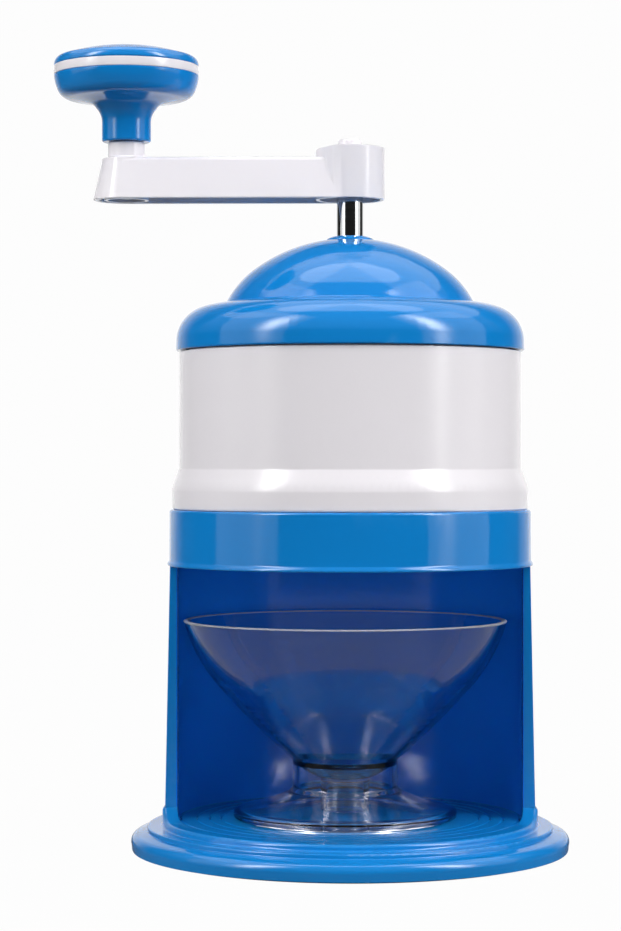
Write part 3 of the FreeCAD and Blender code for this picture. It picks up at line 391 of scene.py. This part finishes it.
def plastic(name, colour, worn, polish, drift, scuffs, grain):
    """A moulded plastic, rubbed at its edges."""
    made = bpy.data.materials.get(name)
    if made:
        return made
    material, tree, shader = new_material(name)
    moulding = use_group(
        tree, shared_group("Moulding", moulding_group),
        Colour=(*colour, 1.0), Polish=polish, Drift=drift, Scuffs=scuffs,
    )
    edges = use_group(
        tree, shared_group("Edge wear", edge_wear_group),
        Colour=moulding.outputs["Colour"], Worn=(*worn, 1.0), Roughness=moulding.outputs["Roughness"],
        Amount=surface().wear,
    )
    tree.links.new(edges.outputs["Colour"], shader.inputs["Base Color"])
    tree.links.new(edges.outputs["Roughness"], shader.inputs["Roughness"])
    bumped(tree, shader, moulding.outputs["Height"], grain)
    shader.inputs["IOR"].default_value = 1.5
    return material


def blue_plastic():
    """Glossy blue of the stand, the lid and the knob."""
    return plastic(
        "Blue moulding", colours().blue, WORN_BLUE,
        polish=surface().polish, drift=0.05, scuffs=0.10, grain=surface().grain,
    )


def shade_painted_plastic():
    """Deeper and slightly duller blue, painted on the inside of the bay as painted shade."""
    return plastic(
        "Blue moulding with painted shade", colours().shade_painted_blue, WORN_BLUE,
        polish=surface().polish + 0.04, drift=0.05, scuffs=0.10, grain=surface().grain,
    )


def white_plastic():
    """Glossy white of the barrel, the arm, the plug and the band, which light sinks into a little."""
    material = plastic(
        "White moulding", colours().white, WORN_WHITE,
        polish=surface().polish + 0.05, drift=0.02, scuffs=0.12, grain=surface().grain,
    )
    shader = first_node(material.node_tree, "BSDF_PRINCIPLED")
    shader.inputs["Subsurface Weight"].default_value = 0.12
    shader.inputs["Subsurface Radius"].default_value = (1.0, 1.0, 1.0)
    shader.inputs["Subsurface Scale"].default_value = 0.6 * MM
    return material


def nylon():
    """Matt natural plastic of the disc, the presser and the bush."""
    return plastic(
        "Nylon", colours().nylon, WORN_NYLON,
        polish=0.42, drift=0.04, scuffs=0.15, grain=2 * surface().grain,
    )


def rubber():
    """Matt rubber of the ring under the base."""
    return plastic(
        "Rubber", colours().rubber, WORN_RUBBER,
        polish=0.72, drift=0.2, scuffs=0.15, grain=6 * surface().grain,
    )


def clear_plastic(name="Clear moulding", clarity=1.0, roughness=0.0):
    """Clear plastic of the bowl, with a slow change of tint and polish. Less clarity makes it cloudy."""
    made = bpy.data.materials.get(name)
    if made:
        return made
    material, tree, shader = new_material(name)
    shader.inputs["Transmission Weight"].default_value = clarity
    shader.inputs["IOR"].default_value = 1.49
    slow = noise(tree, object_place(tree), 30.0, 2.0)
    tree.links.new(maths(tree, "MULTIPLY_ADD", slow, 0.03, roughness), shader.inputs["Roughness"])
    tint = maths(tree, "MULTIPLY_ADD", slow, 0.04, 0.98)
    tree.links.new(scaled(tree, colours().clear, tint), shader.inputs["Base Color"])
    return material


def metal(name, colour, polish, rings, height):
    """A turned or drawn metal, with marks of that height in rings round the crank's axis."""
    made = bpy.data.materials.get(name)
    if made:
        return made
    material, tree, shader = new_material(name)
    turned = use_group(
        tree, shared_group("Turned metal", turned_group), Colour=(*colour, 1.0), Polish=polish, Rings=rings,
    )
    shader.inputs["Metallic"].default_value = 1.0
    tree.links.new(turned.outputs["Colour"], shader.inputs["Base Color"])
    tree.links.new(turned.outputs["Roughness"], shader.inputs["Roughness"])
    bumped(tree, shader, turned.outputs["Height"], height)
    return material


def chrome():
    """Polished chrome of the shaft."""
    return metal("Chrome", colours().chrome, polish=0.03, rings=900.0, height=0.0004 * MM)


def steel():
    """Ground steel of the washers, nuts, spring and screws."""
    return metal("Steel", colours().steel, polish=0.2, rings=2600.0, height=0.002 * MM)


def blade_steel():
    """Steel of the blade, ground along its length."""
    made = bpy.data.materials.get("Ground blade")
    if made:
        return made
    material, tree, shader = new_material("Ground blade")
    along = add(tree, "Mapping", sockets={"Vector": object_place(tree), "Scale": (0.02, 1.0, 1.0)}).outputs[0]
    lines = noise(tree, along, 5200.0, 3.0)
    tone = maths(tree, "MULTIPLY_ADD", lines, 0.24, 0.84)
    shader.inputs["Metallic"].default_value = 1.0
    tree.links.new(scaled(tree, colours().steel, tone), shader.inputs["Base Color"])
    tree.links.new(maths(tree, "MULTIPLY_ADD", lines, 0.25, 0.14), shader.inputs["Roughness"])
    bumped(tree, shader, lines, 0.004 * MM)
    return material


# ---------------------------------------------------------------- mesh tools


def everything(bm):
    """All points, edges and faces of a bmesh."""
    return bm.verts[:] + bm.edges[:] + bm.faces[:]


def merged_copy(node):
    """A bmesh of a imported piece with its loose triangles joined."""
    bm = bmesh.new()
    bm.from_mesh(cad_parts[node].data)
    bmesh.ops.remove_doubles(bm, verts=bm.verts, dist=WELD)
    return bm


def half_section(node, x):
    """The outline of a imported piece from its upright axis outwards, as edges in the XZ plane."""
    bm = merged_copy(node)
    centre = Vector((x, 0, 0))
    back = Matrix.Rotation(-SECTION_TURN, 3, "Z")
    bmesh.ops.rotate(bm, verts=bm.verts, cent=centre, matrix=back)
    cut = bmesh.ops.bisect_plane(bm, geom=everything(bm), dist=WELD, plane_co=centre, plane_no=(0, 1, 0))
    kept = {item for item in cut["geom_cut"] if isinstance(item, bmesh.types.BMEdge)}
    bmesh.ops.delete(bm, geom=[edge for edge in bm.edges if edge not in kept], context="EDGES")
    keep_side(bm, centre, Vector((1, 0, 0)))
    bmesh.ops.remove_doubles(bm, verts=bm.verts, dist=WELD)
    bmesh.ops.dissolve_limit(bm, angle_limit=STRAIGHT, verts=bm.verts, edges=bm.edges)
    return bm


def keep_side(bm, point, normal):
    """Cut everything with a plane and drop what lies behind it."""
    bmesh.ops.bisect_plane(
        bm, geom=everything(bm), dist=WELD, plane_co=point, plane_no=normal, clear_inner=True,
    )
    loose = [vert for vert in bm.verts if not vert.link_edges]
    bmesh.ops.delete(bm, geom=loose, context="VERTS")


def turn_at(vert):
    """How far an outline turns at a point."""
    one, two = (edge.other_vert(vert).co - vert.co for edge in vert.link_edges)
    return math.pi - one.angle(two, math.pi)


def round_corners(bm, radius, x):
    """Round the corners of an outline, apart from those on its axis, as far as their edges leave room."""
    ends = [vert for vert in bm.verts if len(vert.link_edges) == 1]
    if ends:
        bm.edges.new(ends)
    bmesh.ops.contextual_create(bm, geom=bm.edges[:])
    corners = [
        vert for vert in bm.verts
        if len(vert.link_edges) == 2 and abs(vert.co.x - x) > ON_AXIS and turn_at(vert) > SHARP_CORNER
    ]
    for vert in corners:
        room = CORNER_ROOM * min(edge.calc_length() for edge in vert.link_edges)
        bmesh.ops.bevel(
            bm, geom=[vert], offset=min(radius, room), offset_type="OFFSET", segments=3, profile=0.5,
            affect="VERTICES", clamp_overlap=False, material=-1,
        )
    bmesh.ops.delete(bm, geom=bm.faces[:], context="FACES_ONLY")
    on_axis = [edge for edge in bm.edges if all(abs(vert.co.x - x) < ON_AXIS for vert in edge.verts)]
    bmesh.ops.delete(bm, geom=on_axis, context="EDGES")


def spin(bm, x, steps):
    """Turn an outline in the XZ plane right round an upright axis."""
    bmesh.ops.spin(
        bm, geom=bm.verts[:] + bm.edges[:], cent=(x, 0, 0), axis=(0, 0, 1), angle=math.radians(360),
        steps=steps, use_merge=True,
    )
    bmesh.ops.remove_doubles(bm, verts=bm.verts, dist=WELD)
    bmesh.ops.recalc_face_normals(bm, faces=bm.faces)


def turned_piece(node, rounding=1.0, x=0.0, steps=None):
    """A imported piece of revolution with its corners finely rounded, as a bmesh.

    Rounding is a share of the usual one.
    """
    bm = half_section(node, x)
    round_corners(bm, rounding * surface().edge, x)
    spin(bm, x, steps or surface().steps)
    return bm


def room_beside(edge):
    """The shortest edge that meets an edge's ends, itself included."""
    return min(near.calc_length() for vert in edge.verts for near in vert.link_edges)


def softened_piece(node, rounding=1.0):
    """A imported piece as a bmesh, its flat faces made whole and its sharp edges finely rounded.

    An edge whose neighbours leave no room stays sharp. Rounding is a share of the usual one.
    """
    bm = merged_copy(node)
    radius = rounding * surface().edge
    bmesh.ops.dissolve_limit(bm, angle_limit=FLAT, verts=bm.verts, edges=bm.edges)
    sharp = [
        edge for edge in bm.edges
        if edge.calc_face_angle(0) > SHARP_EDGE and room_beside(edge) > 2 * radius
    ]
    bmesh.ops.bevel(
        bm, geom=sharp, offset=radius, offset_type="OFFSET", segments=2, profile=0.5, affect="EDGES",
        clamp_overlap=False, material=-1,
    )
    return bm


def round_flare(bm):
    """Turn the flare above the barrel's foot into a longer shoulder: a cone, rounded at its bottom."""
    slack = 0.05 * MM
    bend = SHOULDER_BEND
    for vert in bm.verts:
        across = vert.co.xy.length
        if across < FLARE_RADII[1] - slack or not FLARE[0] - slack < vert.co.z < FLARE[1] + slack:
            continue
        share = min(1.0, max(0.0, (vert.co.z - FLARE[0]) / (FLARE[1] - FLARE[0])))
        inward = share ** 2 / (bend * (2 - bend)) if share < bend else (2 * share - bend) / (2 - bend)
        radius = FLARE_RADII[0] + (FLARE_RADII[1] - FLARE_RADII[0]) * inward
        vert.co.z = SHOULDER[0] + (SHOULDER[1] - SHOULDER[0]) * share
        vert.co.xy = vert.co.xy * (radius / across)


def wall_middle(bm):
    """Radius of the middle of the housing's wall, from the faces that pass the height half-way up."""
    near = [
        vert.co.xy.length for face in bm.faces for vert in face.verts
        if min(v.co.z for v in face.verts) < WALL_HALF < max(v.co.z for v in face.verts)
    ]
    return (min(near) + max(near)) / 2


def finish_piece(bm, name, body, material, replaced):
    """Make a bmesh the visible piece of that name, smooth and with faithful flats."""
    mesh = bpy.data.meshes.new(name)
    for face in bm.faces:
        face.smooth = True
    for edge in bm.edges:
        edge.smooth = edge.calc_face_angle(0) < SMOOTH
    bm.to_mesh(mesh)
    bm.free()
    piece = bpy.data.objects.new(name, mesh)
    bpy.context.scene.collection.objects.link(piece)
    mesh.materials.append(material)
    weigh = piece.modifiers.new("even_normals", "WEIGHTED_NORMAL")
    weigh.mode = "FACE_AREA"
    weigh.keep_sharp = True
    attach(piece, body)
    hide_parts(*replaced)
    return piece


def paint_node(node, material):
    """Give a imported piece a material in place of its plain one."""
    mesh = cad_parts[node].data
    mesh.materials.clear()
    mesh.materials.append(material)


# ---------------------------------------------------------------- operators for the pieces


class ShaverOperator:
    """What all the operators share."""

    bl_options = {"REGISTER", "UNDO"}


class SHAVER_OT_base(ShaverOperator, Operator):
    """Finish the base"""

    bl_idname = "shaver.base"
    bl_label = "Base"

    def execute(self, context):
        bm = softened_piece("base", rounding=0.7)
        finish_piece(bm, "round_base", "stand", blue_plastic(), ["base"])
        return {"FINISHED"}


class SHAVER_OT_non_slip_ring(ShaverOperator, Operator):
    """Finish the rubber ring under the base"""

    bl_idname = "shaver.non_slip_ring"
    bl_label = "Non-slip Ring"

    def execute(self, context):
        bm = turned_piece("non_slip_ring")
        finish_piece(bm, "ring_of_rubber", "stand", rubber(), ["non_slip_ring"])
        return {"FINISHED"}


class SHAVER_OT_housing(ShaverOperator, Operator):
    """Finish the half-round wall and its collar"""

    bl_idname = "shaver.housing"
    bl_label = "Housing"

    def execute(self, context):
        bm = softened_piece("housing")
        inside = wall_middle(bm)
        # faces inside the bay below the collar take the deeper blue, which is painted shade
        for face in bm.faces:
            centre = face.calc_center_median()
            inward = face.normal.x * centre.x + face.normal.y * centre.y < 0
            if inward and centre.xy.length < inside and centre.z < PAINTED_SHADE_TOP:
                face.material_index = 1
        piece = finish_piece(bm, "open_housing", "stand", blue_plastic(), ["housing"])
        piece.data.materials.append(shade_painted_plastic())
        return {"FINISHED"}


class SHAVER_OT_ice_barrel(ShaverOperator, Operator):
    """Finish the white barrel that holds the ice"""

    bl_idname = "shaver.ice_barrel"
    bl_label = "Ice Barrel"

    def execute(self, context):
        bm = softened_piece("ice_barrel")
        round_flare(bm)
        finish_piece(bm, "barrel", "stand", white_plastic(), ["ice_barrel"])
        return {"FINISHED"}


class SHAVER_OT_blade_disc(ShaverOperator, Operator):
    """Finish the disc that carries the blade, the blade and the screws"""

    bl_idname = "shaver.blade_disc"
    bl_label = "Blade Disc"

    def execute(self, context):
        bm = softened_piece("blade_disc", rounding=0.6)
        finish_piece(bm, "slotted_disc", "stand", nylon(), ["blade_disc"])
        paint_node("blade", blade_steel())
        paint_node("blade_screws", steel())
        paint_node("disc_screws", steel())
        return {"FINISHED"}


class SHAVER_OT_bowl(ShaverOperator, Operator):
    """Finish the clear bowl, with a painted highlight along its rim"""

    bl_idname = "shaver.bowl"
    bl_label = "Bowl"

    def execute(self, context):
        bm = turned_piece("bowl", x=BOWL_X)
        top = max(vert.co.z for vert in bm.verts)
        # the faces along the rim get a cloudy, whitish material: a painted highlight
        for face in bm.faces:
            if face.calc_center_median().z > top - PAINTED_RIM_DEPTH:
                face.material_index = 1
        piece = finish_piece(bm, "clear_bowl", "bowl", clear_plastic(), ["bowl"])
        piece.data.materials.append(clear_plastic("Rim with painted highlight", clarity=0.6, roughness=0.25))
        return {"FINISHED"}


class SHAVER_OT_lid(ShaverOperator, Operator):
    """Finish the domed lid and its bush"""

    bl_idname = "shaver.lid"
    bl_label = "Lid"

    def execute(self, context):
        bm = softened_piece("lid")
        finish_piece(bm, "domed_lid", "lid", blue_plastic(), ["lid"])
        paint_node("shaft_bush", nylon())
        return {"FINISHED"}


class SHAVER_OT_feed_spring(ShaverOperator, Operator):
    """Finish the spring that pushes the presser down"""

    bl_idname = "shaver.feed_spring"
    bl_label = "Feed Spring"

    def execute(self, context):
        bm = merged_copy("feed_spring")
        coil = finish_piece(bm, "coil", "lid", steel(), ["feed_spring"])
        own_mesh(coil)
        return {"FINISHED"}


class SHAVER_OT_presser(ShaverOperator, Operator):
    """Finish the spiked presser and what fastens it"""

    bl_idname = "shaver.presser"
    bl_label = "Presser"

    def execute(self, context):
        bm = softened_piece("presser", rounding=0.8)
        finish_piece(bm, "spiked_presser", "crank", nylon(), ["presser"])
        for node in ("presser_washer", "presser_nut", "spring_washer"):
            paint_node(node, steel())
        return {"FINISHED"}


class SHAVER_OT_shaft(ShaverOperator, Operator):
    """Finish the shaft"""

    bl_idname = "shaver.shaft"
    bl_label = "Shaft"

    def execute(self, context):
        paint_node("shaft", chrome())
        return {"FINISHED"}


class SHAVER_OT_crank_arm(ShaverOperator, Operator):
    """Finish the arm, its plug and its fasteners"""

    bl_idname = "shaver.crank_arm"
    bl_label = "Crank Arm"

    def execute(self, context):
        bm = softened_piece("crank_arm")
        finish_piece(bm, "arm", "crank", white_plastic(), ["crank_arm"])
        bm = turned_piece("hub_plug")
        finish_piece(bm, "plug", "crank", white_plastic(), ["hub_plug"])
        for node in ("hub_screw", "knob_bolt", "knob_nut"):
            paint_node(node, steel())
        return {"FINISHED"}


class SHAVER_OT_knob(ShaverOperator, Operator):
    """Finish the knob's grip, band and cap"""

    bl_idname = "shaver.knob"
    bl_label = "Knob"

    def execute(self, context):
        for node, name, slot, material in (
            ("knob_grip", "grip", "blue_plastic", blue_plastic()),
            ("knob_band", "band", "white_plastic", white_plastic()),
            ("knob_cap", "cap", "blue_plastic", blue_plastic()),
        ):
            bm = turned_piece(node, rounding=0.6, x=KNOB_X, steps=KNOB_STEPS)
            finish_piece(bm, name, "knob", material, [node])
        return {"FINISHED"}


# ---------------------------------------------------------------- stage


def aim(obj, place, target):
    """Put an object at a place and turn its -Z axis towards a target."""
    obj.location = place
    obj.rotation_euler = (Vector(target) - Vector(place)).to_track_quat("-Z", "Y").to_euler()


def seen_from(azimuth, elevation, distance):
    """A place round the object's middle. Azimuth 0 is in front, and it grows towards +X."""
    a, e = math.radians(azimuth), math.radians(elevation)
    return MIDDLE + distance * Vector((math.sin(a) * math.cos(e), -math.cos(a) * math.cos(e), math.sin(e)))


def softbox(name, azimuth, elevation, distance, width, height, radiance, shape="RECTANGLE"):
    """A flat lamp that faces the object. An ellipse has the power of the rectangle round it."""
    lamp = bpy.data.lights.new(name, "AREA")
    lamp.shape = shape
    lamp.size, lamp.size_y = width, height
    lamp.energy = radiance * width * height * math.pi
    obj = bpy.data.objects.new(name, lamp)
    bpy.context.scene.collection.objects.link(obj)
    aim(obj, seen_from(azimuth, elevation, distance), MIDDLE)
    obj.visible_camera = False
    return obj


def glow(box, heart, width, height, strength):
    """Let a softbox glow most in front of its bulb: an upright oval of extra light round the heart."""
    box.data.use_nodes = True
    tree = box.data.node_tree
    where = add(tree, "NewGeometry").outputs["Position"]
    off = add(tree, "VectorMath", operation="SUBTRACT", sockets={0: where, 1: heart}).outputs[0]
    turn = box.rotation_euler.to_matrix()
    squares = []
    for axis, spread in ((turn.col[0], width), (turn.col[1], height)):
        course = {0: off, 1: axis / spread}
        along = add(tree, "VectorMath", operation="DOT_PRODUCT", sockets=course).outputs["Value"]
        squares.append(maths(tree, "MULTIPLY", along, along))
    fall = maths(tree, "EXPONENT", maths(tree, "MULTIPLY", maths(tree, "ADD", *squares), -1.0))
    bright = maths(tree, "MULTIPLY_ADD", fall, strength, 1.0)
    tree.links.new(bright, first_node(tree, "EMISSION").inputs["Strength"])


def straight_behind(tree, place):
    """One within 18 degrees of straight behind the object, fading to zero at 49 degrees off it."""
    course = add(tree, "VectorMath", operation="NORMALIZE", sockets={0: place}).outputs[0]
    back = add(tree, "SeparateXYZ", sockets={0: course}).outputs[1]
    return remapped(tree, back, (0.65, 0.95), (0.0, 1.0))


def seen_as_white(tree, place):
    """One where the camera meets it or sees it through the bowl, and straight behind also for a reflection.

    It is dimmed where a ray goes through the bowl after it was mirrored.
    """
    dimming = 0.6
    path = add(tree, "LightPath").outputs
    mirrored = maths(tree, "MULTIPLY", path["Is Glossy Ray"], straight_behind(tree, place))
    turned_back = maths(tree, "MINIMUM", path["Glossy Depth"], 1.0)
    clear = maths(tree, "MULTIPLY_ADD", turned_back, -dimming, 1.0)
    through = maths(tree, "MULTIPLY", path["Is Transmission Ray"], clear)
    direct = maths(tree, "MAXIMUM", path["Is Camera Ray"], through)
    return maths(tree, "MAXIMUM", direct, mirrored)


def blended_output(tree, kind, share, first, second):
    """Put a mix of two shaders at a tree's output."""
    both = add(tree, "MixShader", sockets={0: share, 1: first.outputs[0], 2: second.outputs[0]})
    tree.links.new(both.outputs[0], first_node(tree, kind).inputs["Surface"])


class SHAVER_OT_stage(ShaverOperator, Operator):
    """Set up the camera, the floor, the lamps and the surroundings"""

    bl_idname = "shaver.stage"
    bl_label = "Stage"

    def execute(self, context):
        self.camera(context)
        self.floor(context)
        self.lamps()
        self.surroundings(context)
        context.scene.view_settings.view_transform = "Standard"
        return {"FINISHED"}

    def camera(self, context):
        """A long lens at the barrel's height, looking almost level."""
        data = bpy.data.cameras.new("camera")
        data.sensor_fit = "AUTO"
        data.sensor_width = 36.0
        data.lens = stage().lens
        camera = bpy.data.objects.new("camera", data)
        context.scene.collection.objects.link(camera)
        camera.location = (0, -stage().distance, stage().eye)
        camera.rotation_euler = (math.radians(90) + stage().pitch, 0, stage().yaw)
        context.scene.camera = camera

    def floor(self, context):
        """A white sweep: floor, bend and backdrop in one sheet."""
        reach = 3.0
        back = 1.2
        bend = 0.6
        top = 2.4
        steps = 16
        bm = bmesh.new()
        line = [Vector((0, -reach, 0)), Vector((0, back, 0))]
        for i in range(1, steps + 1):
            turn = math.radians(90 * i / steps)
            line.append(Vector((0, back + bend * math.sin(turn), bend - bend * math.cos(turn))))
        line.append(Vector((0, back + bend, top)))
        verts = [bm.verts.new(point - Vector((reach, 0, 0))) for point in line]
        edges = [bm.edges.new(pair) for pair in zip(verts, verts[1:])]
        made = bmesh.ops.extrude_edge_only(bm, edges=edges)
        moved = [item for item in made["geom"] if isinstance(item, bmesh.types.BMVert)]
        bmesh.ops.translate(bm, verts=moved, vec=(2 * reach, 0, 0))
        for face in bm.faces:
            face.smooth = True
        mesh = bpy.data.meshes.new("sweep")
        bm.to_mesh(mesh)
        bm.free()
        sweep = bpy.data.objects.new("sweep", mesh)
        context.scene.collection.objects.link(sweep)
        mesh.materials.append(self.paper())

    def paper(self):
        """Paper that the camera sees as white, with a trace of the object's shadow. Its front lights less."""
        evenness = 0.98
        material, tree, shader = new_material("sweep_paper")
        place = add(tree, "NewGeometry").outputs["Position"]
        back = add(tree, "SeparateXYZ", sockets={0: place}).outputs[1]
        lit = remapped(tree, back, (-0.7, -0.1), (0.2, 1.0))
        tree.links.new(scaled(tree, stage().floor, lit), shader.inputs["Base Color"])
        shader.inputs["Roughness"].default_value = 0.7
        shader.inputs["Specular IOR Level"].default_value = 0.0
        even = add(tree, "Emission", sockets={"Color": (1, 1, 1, 1), "Strength": 1.0})
        seen = maths(tree, "MULTIPLY", seen_as_white(tree, place), evenness)
        blended_output(tree, "OUTPUT_MATERIAL", seen, shader, even)
        return material

    def lamps(self):
        """A tall box on each side, its bulb near the front, and cards above that only show in the gloss."""
        distance = 1.3
        height = 1.6
        heart_width = 0.15
        heart_strength = 17.5
        for name, middle, heart, width, heart_height, radiance in (
            ("left_box", -68, -54, 1.27, 0.48, 0.77),
            ("right_box", 73, 58, 1.31, 0.56, 0.85),
        ):
            box = softbox(name, middle, 28, distance, width, height, radiance)
            glow(box, seen_from(heart, 33, distance), heart_width, heart_height, heart_strength)
        card_distance = 1.5
        for name, azimuth, elevation, width, depth, radiance in (
            ("overhead_card", 180, 88, 1.5, 0.9, 1.6),
            ("left_card", -122, 61, 1.7, 1.2, 0.8),
            ("right_card", 122, 61, 1.7, 1.2, 0.8),
        ):
            card = softbox(name, azimuth, elevation, card_distance, width, depth, radiance, "ELLIPSE")
            card.visible_diffuse = False

    def surroundings(self, context):
        """Even light from all round. Reflections meet a dark room, with white straight behind the object."""
        world = bpy.data.worlds.new("surroundings")
        context.scene.world = world
        world.use_nodes = True
        tree = world.node_tree
        plain = first_node(tree, "BACKGROUND")
        plain.inputs["Color"].default_value = (1, 1, 1, 1)
        plain.inputs["Strength"].default_value = stage().ambient
        where = add(tree, "TexCoord").outputs["Generated"]
        upwards = add(tree, "SeparateXYZ", sockets={0: where}).outputs[2]
        room = remapped(tree, upwards, (0.12, 0.5), (0.012, 0.28))
        mirrored = add(tree, "Background", sockets={"Color": (1, 1, 1, 1), "Strength": room})
        seen = add(tree, "Background", sockets={"Color": (1, 1, 1, 1), "Strength": 1.0})
        glossy = add(tree, "LightPath").outputs["Is Glossy Ray"]
        unlit = add(tree, "MixShader", sockets={0: glossy, 1: plain.outputs[0], 2: mirrored.outputs[0]})
        blended_output(tree, "OUTPUT_WORLD", seen_as_white(tree, where), unlit, seen)


# ---------------------------------------------------------------- panel and registration


OPERATORS = (
    SHAVER_OT_base,
    SHAVER_OT_non_slip_ring,
    SHAVER_OT_housing,
    SHAVER_OT_ice_barrel,
    SHAVER_OT_blade_disc,
    SHAVER_OT_bowl,
    SHAVER_OT_lid,
    SHAVER_OT_feed_spring,
    SHAVER_OT_presser,
    SHAVER_OT_shaft,
    SHAVER_OT_crank_arm,
    SHAVER_OT_knob,
    SHAVER_OT_stage,
)


class SHAVER_PT_pieces(Panel):
    """Lists the pieces and the settings"""

    bl_idname = "SHAVER_PT_pieces"
    bl_label = "Ice Shaver"
    bl_space_type = "VIEW_3D"
    bl_region_type = "UI"
    bl_category = "Ice Shaver"

    def draw(self, context):
        layout = self.layout
        for group in (context.scene.shaver_colours, context.scene.shaver_surface, context.scene.shaver_stage):
            box = layout.box()
            for name in group.bl_rna.properties.keys():
                if name not in {"rna_type", "name"}:
                    box.prop(group, name)
        for kind in OPERATORS:
            layout.operator(kind.bl_idname)


CLASSES = (ShaverColours, ShaverSurface, ShaverStage, *OPERATORS, SHAVER_PT_pieces)


def register():
    """Add the classes and the scene's settings."""
    for kind in CLASSES:
        bpy.utils.register_class(kind)
    bpy.types.Scene.shaver_colours = PointerProperty(type=ShaverColours)
    bpy.types.Scene.shaver_surface = PointerProperty(type=ShaverSurface)
    bpy.types.Scene.shaver_stage = PointerProperty(type=ShaverStage)


def unregister():
    """Take the classes and the scene's settings away."""
    del bpy.types.Scene.shaver_stage
    del bpy.types.Scene.shaver_surface
    del bpy.types.Scene.shaver_colours
    for kind in reversed(CLASSES):
        bpy.utils.unregister_class(kind)


def main():
    """Make every piece and the stage."""
    register()
    for kind in OPERATORS:
        group, name = kind.bl_idname.split(".")
        getattr(getattr(bpy.ops, group), name)()


if __name__ == "__main__":
    main()
